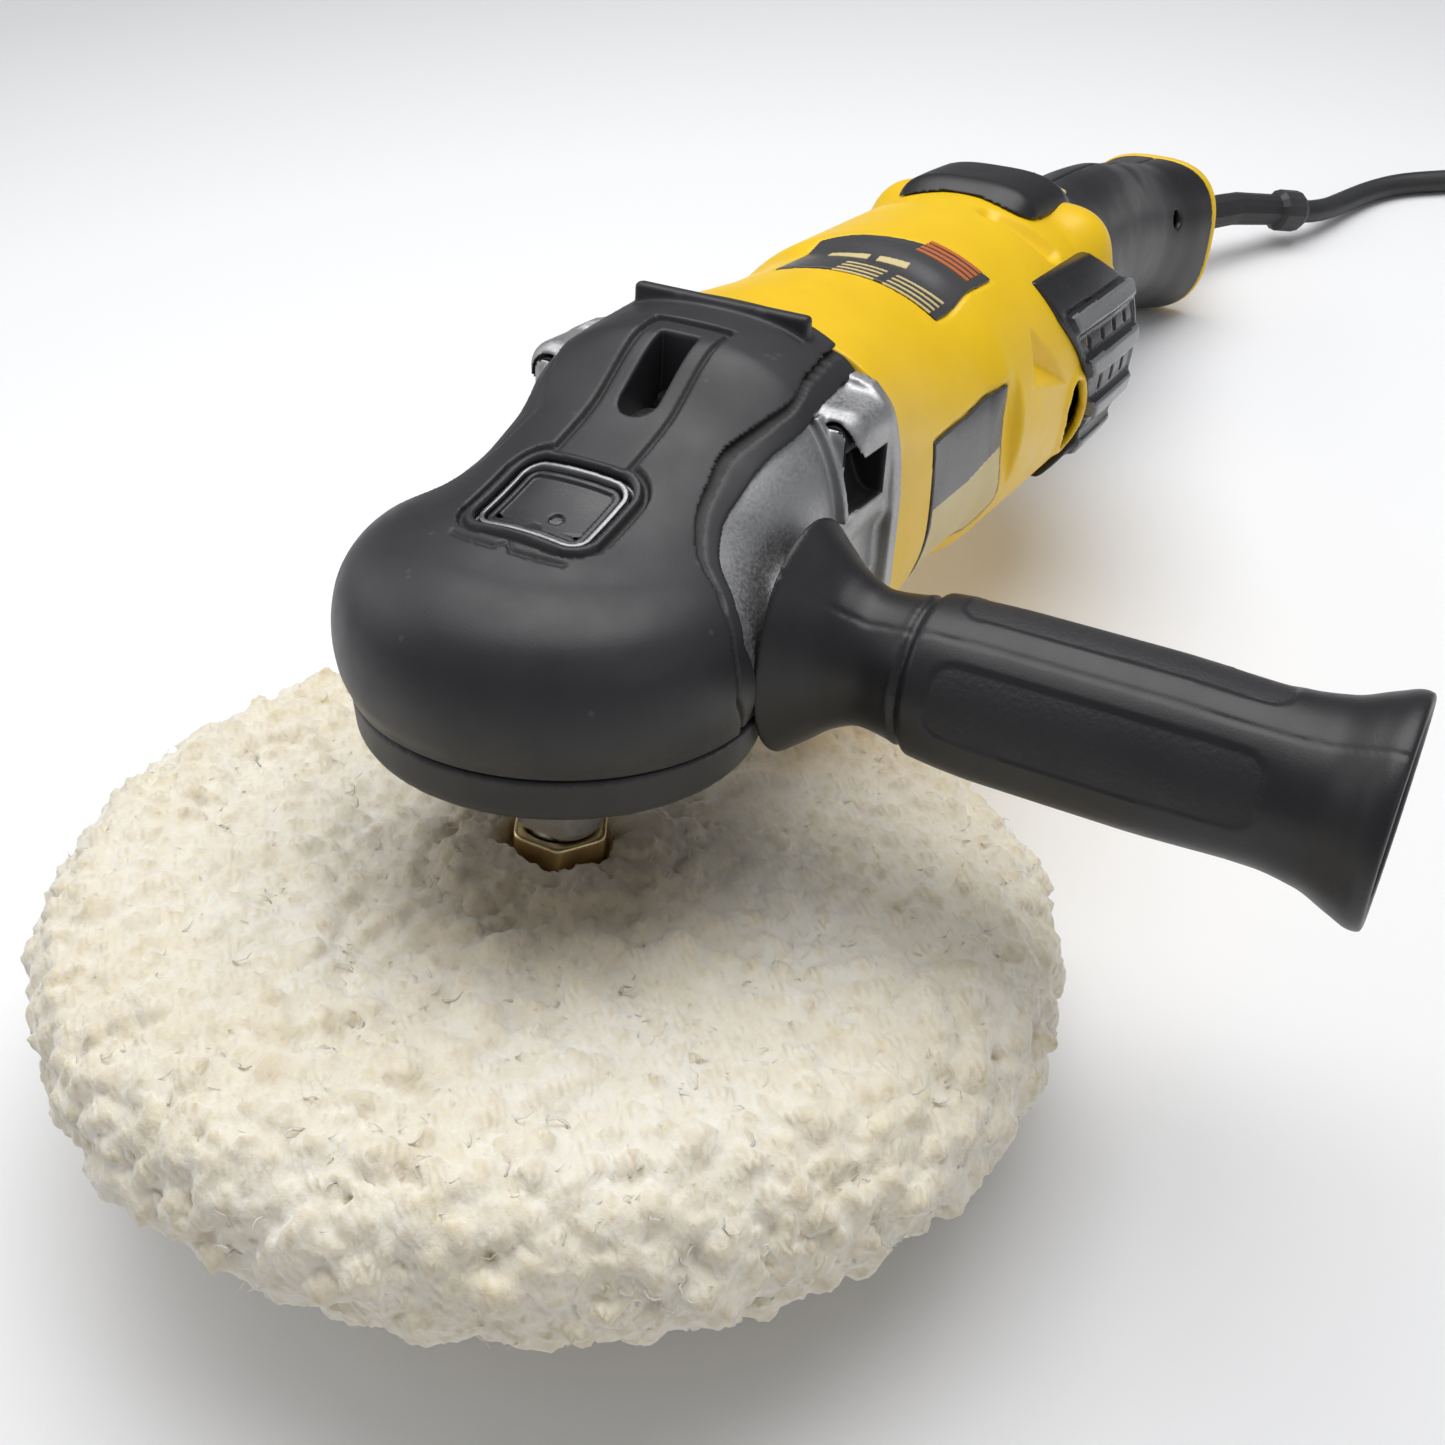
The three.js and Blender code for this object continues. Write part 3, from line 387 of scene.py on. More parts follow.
def oval(y, z, w, up, down, n):
    """Distance to a rounded outline: half width w, heights up and down, roundness n."""
    h = np.where(z > 0, up, down)
    a, b = np.abs(y) / w, np.abs(z) / h
    size = np.maximum((a**n + b**n) ** (1 / n), 1e-3)
    slope = np.sqrt((a ** (n - 1) / w) ** 2 + (b ** (n - 1) / h) ** 2) / size ** (n - 1)
    return (size - 1) / np.maximum(slope, 1e-4)


def body_along(x, y, z, sections, ends=True, rounded=1.0):
    """A body through sections (x, z, w, up, down, n) along x."""
    values = [smooth_curve([(s[0], s[i]) for s in sections], x) for i in range(1, 6)]
    middle, w, up, down, n = values
    distance = oval(y, z - middle, w, up, down, n)
    if ends:
        first, last = min(s[0] for s in sections), max(s[0] for s in sections)
        distance = both(distance, np.maximum(first - x, x - last), rounded)
    return distance


def smooth_route(points, count):
    """A Catmull-Rom curve through points, as evenly numbered points."""
    points = [Vector(p) for p in points]
    points = [2 * points[0] - points[1], *points, 2 * points[-1] - points[-2]]
    made = []
    for a, b, c, d in zip(points, points[1:], points[2:], points[3:]):
        for i in range(count):
            t = i / count
            made.append(0.5 * ((2 * b) + (c - a) * t + (2 * a - 5 * b + 4 * c - d) * t * t
                               + (3 * b - a - 3 * c + d) * t**3))
    return made + [points[-2]]


def polygon(a, b, points):
    """Distance to a closed outline in a plane, negative inside."""
    a, b = np.broadcast_arrays(a, b)
    nearest = np.full(a.shape, 1e9, np.float32)
    inside = np.zeros(a.shape, bool)
    for (ax, ay), (bx, by) in zip(points, points[1:] + points[:1]):
        ex, ey = bx - ax, by - ay
        t = np.clip(((a - ax) * ex + (b - ay) * ey) / (ex * ex + ey * ey), 0, 1)
        nearest = np.minimum(nearest, (a - ax - t * ex) ** 2 + (b - ay - t * ey) ** 2)
        if ay != by:
            inside ^= ((ay > b) != (by > b)) & (a < (bx - ax) * (b - ay) / (by - ay) + ax)
    distance = np.sqrt(nearest)
    return np.where(inside, -distance, distance)


def slab(x, y, z, low, high, rounded=0.0):
    """A box between two corners, its edges rounded."""
    spans = [(v, a + rounded, b - rounded) for v, a, b in zip((x, y, z), low, high)]
    outs = [np.maximum(a - v, v - b) for v, a, b in spans]
    far = np.sqrt(sum(np.maximum(o, 0) ** 2 for o in outs))
    return far + np.minimum(np.maximum(np.maximum(outs[0], outs[1]), outs[2]), 0) - rounded


def drum(a, b, along, radius, low, high, rounded=0.0):
    """A cylinder: a and b are measured across its axis, and along on it."""
    side = np.sqrt(a * a + b * b) - radius + rounded
    end = np.maximum(low - along, along - high) + rounded
    return (
        np.sqrt(np.maximum(side, 0) ** 2 + np.maximum(end, 0) ** 2)
        + np.minimum(np.maximum(side, end), 0)
        - rounded
    )


def rounded_plate(a, b, centre, half, corner):
    """An outline with round corners: centre and half sizes."""
    p = np.abs(a - centre[0]) - half[0] + corner
    q = np.abs(b - centre[1]) - half[1] + corner
    return np.sqrt(np.maximum(p, 0) ** 2 + np.maximum(q, 0) ** 2) + np.minimum(np.maximum(p, q), 0) - corner


# ------------------------------------------------------------------ gear head
HEAD_FLOOR = 85.6
FLANGE_X = -66.0
CUP = [(0, 80), (44.8, 80), (45.4, 86), (47.2, 91), (48, 97), (47.6, 103), (46, 108.5), (42.5, 113.5),
       (37, 117.3), (30, 119.8), (20, 121.4), (0, 122)]
NECK = [
    (26, 100, 16, 20.2, 17, 2.1), (13, 100, 30, 24, 17, 2.2), (-7, 100, 38, 30.6, 17, 2.3),
    (-25, 100, 42, 37, 18, 2.4), (-46, 100, 44, 49.3, 22, 2.5), (-70, 100, 45, 50.9, 34, 2.6),
]
COVER_EDGE = [(-80, 140), (-63, 139.2), (-49, 136.9), (-34, 131.8), (-24, 127), (-14, 122.6),
              (-5, 117.6), (1, 112.4), (3.5, 107), (0, 97), (-9, 86), (-14, 70), (-80, 50)]
COVER_GROOVE = [(-80, 144.5), (-66, 144), (-52, 142), (-38, 137.6), (-24, 131.4), (-12, 125.4),
                (-2, 119.6), (5, 113.4), (8, 107), (8, 97), (0, 84), (-14, 70), (-80, 50)]
CUP_CURVE = [CUP[0]] + [(p.x, p.z) for p in smooth_route([(r, 0, z) for r, z in CUP[1:]], 5)]
WINDOW = (3.4, 0.0)
SCREW_SLOT = (-29.6, -46.0, 4.6)


def head_form(x, y, z):
    cup = polygon(np.sqrt(x * x + y * y), z, CUP_CURVE)
    neck = both(body_along(x, y, z, NECK, ends=False), x - 22, 8)
    return blend_in(cup, neck, 7)


def window_outline(x, y, inset):
    return rounded_plate(x, y, WINDOW, (11.8 - inset, 14 - inset), 5.5 - inset)


def slot_outline(x, y, grown):
    front, back, half = SCREW_SLOT
    round_end = np.sqrt((x - front) ** 2 + y * y) - half
    bar = np.maximum(np.abs(y) - half, np.maximum(x - front, back - x))
    return np.minimum(round_end, bar) - grown


def engraved(outline, width, depth):
    """How far the surface sinks along an outline's edge."""
    return depth * np.clip((width - np.abs(outline)) / 0.5, 0, 1)


def cover_outlines(x, y, z):
    """The outlines engraved in the cover: the top channel, it and the window, the rim, the brow."""
    channel = np.maximum(np.abs(y) - 9.2, np.maximum(x + 9, -51.5 - x))
    around = np.minimum(channel, window_outline(x, y, 0) - 2.6)
    rim = np.maximum(polygon(x, z, COVER_GROOVE), 20 - np.abs(y))
    brow = np.abs(np.sqrt((x + 26) ** 2 + y * y) - 47.5 + 2 * np.clip(-np.abs(y) / 2 + 1, 0, 1))
    return channel, around, rim, brow


def draw_head_cover(x, y, z):
    channel, around, rim, brow = cover_outlines(x, y, z)
    outer = head_form(x, y, z)
    outer = outer + np.maximum(engraved(around, 1.0, 1.5), 0.6 * np.clip(-channel / 0.6, 0, 1))
    outer = outer + 0.8 * np.clip(0.5 - np.maximum(brow - 0.5, np.abs(y) - 13.5), 0, 1)
    outer = outer + np.maximum(engraved(rim, 1.0, 1.6), 0.8 * np.clip(-rim / 0.6, 0, 1))
    shell = less(outer, outer + 2.4)
    # The slot gets a floor of the cover's dark rubber just below the surface, put there as shade inside the
    # opening.
    pocket = np.maximum(np.maximum(slot_outline(x, y, 2), outer), 128 - z)
    shell = np.minimum(shell, pocket)
    lip = slab(x, y, z, (-66, -22.4, 146.5), (-62.4, 22.4, 152.3), 1.2)
    shell = blend_in(shell, lip, 1.2)
    rear = np.where(z > 131, FLANGE_X - 4.6, FLANGE_X) - x
    ends = np.maximum(np.maximum(rear, HEAD_FLOOR - z), np.where(x < -30, 98 - z, -9))
    shell = both(shell, ends, 0.8)
    side = np.maximum(polygon(x, z, COVER_EDGE), 24 - np.abs(y))
    shell = less(shell, side, 0.9)
    seat = np.maximum(oval(x + 24, z - 97, 23.6, 27.6, 27.6, 2), 44.65 - y)
    shell = less(shell, seat, 0.6)
    shell = less(shell, np.maximum(window_outline(x, y, 0), 110 - z), 1.1)
    return less(shell, np.maximum(slot_outline(x, y, 0), 130.5 - z), 0.8)


def cover_line_shade(x, y, z):
    """Negative along the cover's engraved lines, which are painted dark as shade in the grooves."""
    _, around, rim, brow = cover_outlines(x, y, z)
    top = np.maximum(np.abs(around), 105 - z)
    brow = np.maximum(brow - 0.3, np.abs(y) - 13.5) + 0.55
    return np.minimum(np.minimum(top, np.abs(rim)), brow) - 0.75


def screw_pocket(x, y, z):
    """The hollow round each gear case screw; make_head paints its walls dark as shade."""
    low, high = (41.5, 120.5), (37.0, 130.6)
    dy, dz = high[0] - low[0], high[1] - low[1]
    away = np.abs(y) - low[0]
    t = np.clip((away * dy + (z - low[1]) * dz) / (dy * dy + dz * dz), 0, 1)
    bar = np.sqrt((away - t * dy) ** 2 + (z - low[1] - t * dz) ** 2) - 4.6
    return np.maximum(bar, np.maximum(-63.5 - x, x + 49))


def draw_gear_case(x, y, z):
    outer = head_form(x, y, z) + 2.8
    outer = both(outer, -67 - x)
    inside = outer + 3.2
    boss = drum(x + 24, z - 97, np.abs(y), 13.5, 28, 44.5, 1)
    flange = both(oval(y, z - 103, 46, 44, 46, 3.4), np.abs(x + 68.7) - 2.3, 1)
    flange = both(flange, head_form(x, y, z) + 2.6 - 12 * np.clip((141 - z) / 4, 0, 1))
    body = blend_in(blend_in(outer, boss, 4), flange, 2.5)
    for side in (1, -1):
        body = less(body, drum(x + 24, z - 97, side * y, 4.5, 31, 60))
    ear = slab(x, np.abs(y), z, (-70.8, 24, 108), (-48, 43.8, 137.6), 6)
    body = less(blend_in(body, ear, 3), both(inside, -64 - x))
    hollow = slab(x, y, z, (-90, -34, 66), (-50, 34, 132), 8)
    seat = np.maximum(window_outline(x, y, 0), 116.6 - z)
    slot = np.maximum(slot_outline(x, y, 2.4), 127.6 - z)
    for space in (hollow, seat, slot):
        body = less(body, space, 0.4)
    pocket = screw_pocket(x, y, z)
    liner = np.maximum(pocket - 2.2, np.maximum(head_form(x, y, z) + 0.4, x + 46))
    body = less(np.minimum(body, liner), pocket, 0.6)
    return both(body, HEAD_FLOOR - z + np.where(x < -60, -60, 0))


def draw_band(x, y, z):
    radius = np.sqrt(x * x + y * y)
    profile = [(12.4, 74.5), (41.4, 74.5), (43.2, 75.4), (44.1, 77), (44.9, 85.2), (38, 85.2),
               (21, 85.4), (21, 95), (17.75, 95), (17.75, 84.6), (12.4, 84.6)]
    return polygon(radius, z, profile)


def draw_lock_button(x, y, z):
    sunk = head_form(x, y, z) + 1.9
    floor = 122.3 - 2.5 * np.clip((x - 9.2) / 1.6, 0, 1)
    button = both(both(window_outline(x, y, 2.4), sunk, 0.8), floor - z)
    dish = np.maximum(window_outline(x, y, 4.0), -(sunk + 0.8))
    dot = np.sqrt((x - 6) ** 2 + (y - 2.4) ** 2) - 1.5
    pin = drum(x - 11.5, y, z, 1.9, 107.5, 123)
    return np.minimum(less(less(button, dish, 0.4), both(dot, -(sunk + 1.6)), 0.2), pin)


def draw_window_frame(x, y, z):
    ring = np.maximum(window_outline(x, y, 0.9), -window_outline(x, y, 2.1))
    height = np.maximum(head_form(x, y, z) + 1.1, 119.8 - z)
    return both(ring, height, 0.4)


def make_head():
    cover = moulding("head_cover_shell", draw_head_cover, (-71, -48, 84), (48, 48, 153), 0.5, RUBBER,
                     ["head_cover"])
    # Painted shade: the engraved lines of the cover get the near-black carbon material.
    paint(cover, CARBON_AND_SHADE, cover_line_shade)
    case = moulding("gear_case_casting", draw_gear_case, (-71, -46, 57), (46, 46, 150), 0.6, CAST,
                    ["gear_case"], rounds=4)
    # Painted shade: the walls of the screw pockets get the near-black carbon material.
    paint(case, CARBON_AND_SHADE, lambda x, y, z: screw_pocket(x, y, z) - 0.4)
    moulding("bottom_ring", draw_band, (-46, -46, 74), (46, 46, 96), 0.7, RUBBER,
             ["bearing_cover"])
    moulding("spindle_lock_button", draw_lock_button, (-8, -13, 107), (15.5, 13, 131), 0.35, BLACK,
             ["lock_button"], "spindle_lock")
    moulding("window_frame", draw_window_frame, (-9, -14, 119), (16, 14, 132), 0.25, BRIGHT)


# ------------------------------------------------------------------ motor housing
HOUSING = [
    (-71.4, 103, 44.8, 43.2, 44.5, 3.3), (-84, 103, 44.2, 43.4, 44, 2.8), (-98, 103, 44, 43.8, 44, 2.3),
    (-113, 103, 44, 44, 44, 2.05), (-134, 103, 44.2, 44, 44, 2), (-148, 103, 46.8, 46.8, 46.6, 2),
    (-235, 103, 47, 47, 46.8, 2), (-250, 103, 44.6, 44.2, 44.4, 2), (-268, 103, 37, 37.4, 37.6, 2),
    (-290, 104, 27.5, 31, 29.5, 2.05), (-300, 105, 25, 31, 28, 2.1),
]
NAME_PLATE = [(-97, 117.6), (-120, 117.6), (-146, 119.6), (-145.4, 104), (-147, 86.5), (-141, 77),
              (-120, 74.5), (-103, 76), (-98, 84), (-97.2, 96)]
PLATE_BAND = [(-90, 99.6), (-122, 99.6), (-150, 103.4), (-150, 60), (-90, 60)]
TOP_PLATE = [(-128, 28), (-164, 29), (-150, 0.5), (-144, -14), (-117, -14)]
COVER_FRONT = [(-183, 136), (-188, 125), (-197.6, 114), (-205, 103.5), (-212, 95), (-216.5, 88),
               (-216.5, 82), (-213, 75), (-209, 70)]
COVER_RADIUS = [(-262, 43.5), (-255, 47), (-246, 49), (-225, 49.4), (-200, 48.6), (-183, 47.8)]
COVER_OUTLINE = COVER_FRONT + [(-262, 70), (-262, 120), (-243, 127), (-226, 136)]
INTAKE = [(-197, 107), (-202, 105.4), (-208.5, 96.5), (-212.4, 88.5), (-212.4, 84.5), (-209, 81),
          (-201, 85), (-194.5, 92.5), (-191.2, 100), (-192.8, 104.8)]
FACET = [(-168, 128), (-161, 114.5), (-190, 108)]


def housing_form(x, y, z):
    form = body_along(x, y, z, HOUSING, ends=False)
    flat = np.abs(y) - 43.4 - 0.06 * np.clip(110 - z, 0, 30) - 9 * np.clip((-151 - x) / 6, 0, 1)
    return both(form, flat, 1.2)


def draw_housing(x, y, z):
    outer = housing_form(x, y, z)
    plate = np.maximum(polygon(x, z, NAME_PLATE), 20 - np.abs(y))
    outer = outer + 0.9 * np.clip(0.4 - plate / 0.7, 0, 1)
    top_plate = np.maximum(polygon(x, y, TOP_PLATE), 110 - z)
    outer = outer + 0.7 * np.clip(0.4 - top_plate / 0.7, 0, 1)
    facet = np.maximum(polygon(x, z, FACET), 24 - np.abs(y))
    outer = outer + 0.75 * np.clip(-facet, 0, 6)
    rim = np.maximum(polygon(x, z, INTAKE) - 2.6, 20 - np.abs(y))
    outer = outer - 1.1 * np.clip(0.3 - rim / 2, 0, 1)
    lobe = np.sqrt((x + 238) ** 2 + (np.abs(y) - 25.5) ** 2 + (z - 132) ** 2) - 13.6
    outer = blend_in(outer, lobe, 5)
    t = np.clip((np.abs(y) - 14) / 16, 0, 1)
    trough = np.sqrt((x + 201 + 6 * t) ** 2 + (np.abs(y) - 14 - 16 * t) ** 2 + (z - 150.5 + 8.5 * t) ** 2)
    outer = less(outer, trough - 4.6 - 1.2 * t, 1.6)
    shell = less(outer, outer + 2.6)
    back = -(x + 256 + np.clip((132 - z) * 0.5, 0, 16))
    shell = both(both(shell, x + 71.4, 0.8), back, 1.0)
    intake = np.maximum(polygon(x, z, INTAKE), 20 - np.abs(y))
    return less(shell, intake, 0.8)


def draw_name_plate(x, y, z, side):
    plate = np.maximum(polygon(x, z, NAME_PLATE) + 0.5, 20 - side * y)
    outer = housing_form(x, y, z)
    return both(plate, np.maximum(outer - 0.15, -outer - 0.85), 0.2)


def plate_band(x, y, z):
    """Negative in the pale band along the bottom of the name plate."""
    return np.maximum(polygon(x, z, PLATE_BAND), polygon(x, z, NAME_PLATE) + 1.6)


def draw_top_plate(x, y, z):
    plate = np.maximum(polygon(x, y, TOP_PLATE) + 0.5, 110 - z)
    outer = housing_form(x, y, z)
    return both(plate, np.maximum(outer - 0.15, -outer - 0.65), 0.2)


def draw_print(x, y, z):
    """Plain printed bars on the top plate: no words."""
    outer = housing_form(x, y, z)
    bars = np.float32(9)
    slanted = x + 0.3 * (y - 20)
    for row in range(4):
        start = -126 - 2.9 * row
        for low, high in ((1, 11.5), (13.5, 26)):
            bar = slab(slanted, y, z, (start - 0.6, low, 120), (start + 0.6, high, 160))
            bars = np.minimum(bars, bar)
    for low, high in ((-6, 4), (6, 14)):
        bars = np.minimum(bars, slab(slanted, y, z, (-143, low, 120), (-140, high, 160)))
    return both(bars, np.maximum(outer - 0.4, -outer))


def draw_print_patch(x, y, z):
    """The orange bars on the top plate."""
    outer = housing_form(x, y, z)
    bars = np.float32(9)
    for start in (-150.4, -153.4, -156.4, -159.4):
        bar = slab(x + 0.2 * (y - 20), y, z, (start - 1, 12, 120), (start + 1, 26.4, 160))
        bars = np.minimum(bars, bar)
    return both(bars, np.maximum(outer - 0.4, -outer))


RIB_ANGLES = (0.42, 0.12, -0.19, -0.50)


def rib_away(y, z, side):
    """Distance round the cover to the nearest rib's middle."""
    angle = np.arctan2(z - MOTOR_Z, side * y)
    away = np.float32(99)
    for rib in RIB_ANGLES:
        away = np.minimum(away, np.abs(angle - rib) * 49)
    return away


def ribbed_part(x, y, z):
    """Negative where the filter cover is ribbed: behind its smooth front strip."""
    return np.maximum(x + 190 + 26 * np.clip((128 - z) / 45, 0, 1), -250 - x)


def rib_tops(x, y, z, side):
    return np.maximum(rib_away(y, z, side) - 2.9, ribbed_part(x, y, z) + 2)


def draw_filter_cover(x, y, z, side):
    radius = smooth_curve(COVER_RADIUS, x)
    away = rib_away(y, z, side)
    inside = np.clip(-ribbed_part(x, y, z) / 3, 0, 1)
    raised = 1.7 * np.clip((3.4 - away) / 1.0, 0, 1) * inside
    groove = 1.0 * np.clip((away - 3.6) / 0.8, 0, 1) * inside * (z < 127)
    vents = np.maximum(np.abs(np.mod(x + 3, 11) - 5.5) - 1.3, 5.4 - away)
    groove = groove + 1.1 * np.clip(-vents / 0.5, 0, 1) * (groove > 0.9)
    outer = np.sqrt(y * y + (z - MOTOR_Z) ** 2) - radius - raised + groove
    body = np.maximum(outer, -(outer + 4.6 - groove))
    edges = np.maximum(polygon(x, z, COVER_OUTLINE), 15 - side * y)
    return both(body, edges, 1.0)


def make_motor():
    moulding("motor_housing_shell", draw_housing, (-275, -48, 55), (-71, 48, 152), 0.8, YELLOW,
             ["motor_housing"])
    for side, hand in ((1, "right"), (-1, "left")):
        span = (0, 52) if side > 0 else (-52, 0)
        plate = moulding(f"name_plate_panel_{hand}", lambda x, y, z: draw_name_plate(x, y, z, side),
                         (-148, span[0] * 0.9, 73), (-96, span[1] * 0.9, 121), 0.4, PLATE,
                         [f"name_plate_{hand}"])
        paint(plate, PALE, plate_band)
        cover = moulding(f"filter_panel_{hand}", lambda x, y, z: draw_filter_cover(x, y, z, side),
                         (-263, span[0], 69), (-182, span[1], 137), 0.6, GLOSS,
                         [f"filter_cover_{hand}"])
        paint(cover, GREY, lambda x, y, z: rib_tops(x, y, z, side))
    moulding("rating_plate_panel", draw_top_plate, (-165, -15, 133), (-116, 30, 151), 0.4, PLATE,
             ["rating_plate"])
    moulding("printed_bars", draw_print, (-146, -8, 134), (-120, 28, 151), 0.25, PALE, rounds=0)
    moulding("printed_patch", draw_print_patch, (-164, 11, 134), (-148, 28, 151), 0.25, ORANGE,
             rounds=0)


# ------------------------------------------------------------------ rear handle
HANDLE = [
    (-246, 103, 42.5, 42.5, 42.5, 2), (-256, 103.5, 39, 40.5, 39.5, 2), (-270, 104.5, 31, 37, 33, 2.1),
    (-286, 105, 25, 35, 29, 2.2), (-302, 105, 22.2, 34.4, 27.6, 2.3), (-318, 105, 21.2, 34.2, 27.4, 2.3),
    (-340, 105, 19.8, 33, 27, 2.3), (-365, 105, 18.6, 29.3, 27, 2.2), (-386, 103, 19.2, 28.2, 26.5, 2.1),
    (-402, 101, 22, 27.6, 28, 2.2), (-416, 99, 25.6, 28.6, 30, 2.5), (-426, 97.5, 27.8, 29.4, 30, 2.8),
]
HUMP = [
    (-270, 131, 17.5, 10.2, 20, 2.4), (-258, 134, 20.5, 10, 20, 2.6), (-248, 138, 22.5, 12, 20, 3),
    (-240, 140, 23, 13.4, 20, 3), (-217, 140, 22.5, 13.8, 20, 3), (-207, 140, 19, 8.5, 20, 3),
]


def make_handle():
    moulding("rear_handle_half_right", lambda x, y, z: draw_handle(x, y, z, 1), (-426, 0, 60),
             (-247, 46, 147), 0.7, GRIP, ["handle_right"], rounds=12)
    moulding("rear_handle_half_left", lambda x, y, z: draw_handle(x, y, z, -1), (-426, -46, 60),
             (-247, 0, 147), 0.7, GRIP, ["handle_left"], rounds=12)
    moulding("speed_dial_cover", draw_hump, (-271, -24, 124), (-206, 24, 155), 0.6, GRIP,
             ["dial_cover"])
    moulding("dial_pointer", draw_pointer, (-287, -1, 137), (-268, 14, 145), 0.35, PALE)
    moulding("handle_end_cap", draw_end_cap, (-431.2, -29, 66), (-426, 29, 129), 0.5, YELLOW,
             ["end_cap"])


def draw_handle(x, y, z, side):
    outer = body_along(x, y, z, HANDLE, ends=False)
    shell = less(outer, outer + 2.6)
    shell = both(shell, np.maximum(-426 - x, 0.12 - side * y), 0.5)
    behind = x + 256.8 + np.clip((132 - z) * 0.5, 0, 16)
    shell = both(shell, np.minimum(behind, housing_form(x, y, z) + 3.0), 0.5)
    trigger_slot = slab(x, y, z, (-374, -9.2, 50), (-310, 9.2, 92), 2)
    screws = np.minimum(drum(x + 302, z - 106, y, 3.4, -60, 60), drum(x + 398, z - 111, y, 3.4, -60, 60))
    button = drum(x + 338, z - 112, y, 5.4, -40, -10)
    outlet = drum(y, z - 95, x, 8.2, -450, -400)
    for hole in (trigger_slot, screws, button, outlet):
        shell = less(shell, hole, 0.6)
    return shell


def draw_hump(x, y, z):
    hump = body_along(x, y, z, HUMP, rounded=2.5)
    hump = less(hump, housing_form(x, y, z) - 0.3)
    dial = drum(x + 259, z - 139.6, y, 10.6, -5.6, 5.6)
    return less(hump, dial, 0.6)


def draw_pointer(x, y, z):
    """The pale mark beside the speed dial."""
    handle = body_along(x, y, z, HANDLE, ends=False)
    return both(slab(x, y, z, (-286, 5.5, 130), (-269, 8.5, 146), 1), np.abs(handle) - 0.7, 0.3)


def draw_end_cap(x, y, z):
    edge = oval(y, z - 97.5, 28.0, 29.7, 30.0, 2.8)
    disc = both(edge, np.abs(x + 428.75) - 2.15, 1.4)
    hole = drum(y, z - 95, x, 8.9, -450, -400)
    return less(less(disc, np.maximum(edge + 4.5, x + 430.2)), hole, 0.6)


# ------------------------------------------------------------------ side handle
SIDE_HANDLE = [
    (45, 97, 23, 27, 27, 2), (50, 97, 18.5, 23, 23, 2), (57, 97, 14.2, 17.5, 17.5, 2),
    (63, 97, 13.3, 15.2, 15.2, 2), (70, 97, 14.8, 15.8, 15.8, 2), (76, 97, 17.2, 17.6, 17.6, 2),
    (92, 97, 18.4, 18.6, 18.6, 2), (120, 97, 18.5, 18.6, 18.6, 2), (146, 97, 17.6, 17.8, 17.8, 2),
    (155, 97, 18.8, 19, 19, 2), (162, 97, 21.6, 21.8, 21.8, 2), (166.5, 97, 23.2, 23.3, 23.3, 2),
    (168.5, 97, 23.1, 23.2, 23.2, 2),
]


def grip_panels(across, y, z):
    """Outline of the four long panels round the grip."""
    angle = np.arctan2(z - 97, across)
    panels = 99.0
    for turn in (0.25, 1.75, 3.3, 4.85):
        away = np.abs(np.mod(angle - turn + math.pi, TAU) - math.pi) * 18.5
        panels = np.minimum(panels, rounded_plate(away, y, (0, 113), (8.5, 33), 5))
    return panels


def draw_side_handle(x, y, z):
    across = x + 24
    outer = body_along(y, across, z, SIDE_HANDLE, ends=False)
    angle = np.arctan2(z - 97, across)
    ring = np.abs(y - 73.4) - 0.9
    outer = outer + 1.2 * np.clip(0.5 - ring, 0, 1)
    seam = np.abs(np.sqrt(across**2 + (z - 97) ** 2) * np.sin(angle - 0.96)) - 0.35
    seam = np.maximum(seam, -np.cos(angle - 0.96))
    outer = outer + 0.35 * np.clip(0.4 - seam, 0, 1)
    outer = outer + 0.5 * np.clip(-grip_panels(across, y, z) / 0.6, 0, 1)
    body = both(outer, np.maximum(45 - y, y - 168.5), 1.2)
    bore = smooth_curve([(128, 15.5), (155, 16), (163, 19), (170, 20.6)], y)
    hollow = np.maximum(np.sqrt(across**2 + (z - 97) ** 2) - bore, 128 - y)
    bolt = drum(across, z - 97, y, 4.6, 40, 65)
    return less(less(body, hollow, 1.2), bolt)


def make_side_handle():
    grip = moulding("side_handle_grip", draw_side_handle, (-48, 44.5, 69), (0, 169, 125), 0.6, GRIP,
                    ["side_handle"])
    paint(grip, PANEL, lambda x, y, z: grip_panels(x + 24, y, z) + 1)


# ------------------------------------------------------------------ strain relief, cord and plug
CORD_ROUTE = [
    (-0.354, 0.0205, 0.012), (-0.361, 0.025, 0.0102), (-0.3717, 0.029, 0.008),
    (-0.3863, 0.0335, 0.0062), (-0.404, 0.041, 0.0051), (-0.417, 0.0515, 0.0049),
    (-0.428, 0.068, 0.0049), (-0.440, 0.088, 0.0049), (-0.452, 0.112, 0.0049),
    (-0.461, 0.138, 0.0049),
]
TAIL_ROUTE = [(-0.380, 0.2287, 0.013), (-0.358, 0.225, 0.0124), (-0.337, 0.219, 0.0116),
              (-0.316, 0.2127, 0.011)]
COIL_CENTRE = (-0.400, 0.168)
CORD_RADIUS = 0.00475
COIL_RADII = [(0.0665, 0.0049), (0.0570, 0.0049), (0.0475, 0.0049), (0.0380, 0.0049),
              (0.04275, 0.01315), (0.05225, 0.01315), (0.06175, 0.01315)]


def coil_points():
    """Each turn keeps its radius and height for most of the way round, then eases to the next."""
    points = []
    steps = 32
    turns = len(COIL_RADII) - 1
    for i in range(int(steps * (turns + 0.25)) + 1):
        turn, share = divmod(i / steps, 1)
        turn = int(turn)
        radius, height = COIL_RADII[turn]
        later = COIL_RADII[min(turn + 1, turns)]
        ease = np.clip((share - 0.78) / 0.22, 0, 1)
        ease = ease * ease * (3 - 2 * ease)
        radius += (later[0] - radius) * ease
        height += (later[1] - height) * ease
        angle = math.pi - i / steps * TAU
        points.append((COIL_CENTRE[0] + radius * math.cos(angle),
                       COIL_CENTRE[1] + radius * math.sin(angle), height))
    return points


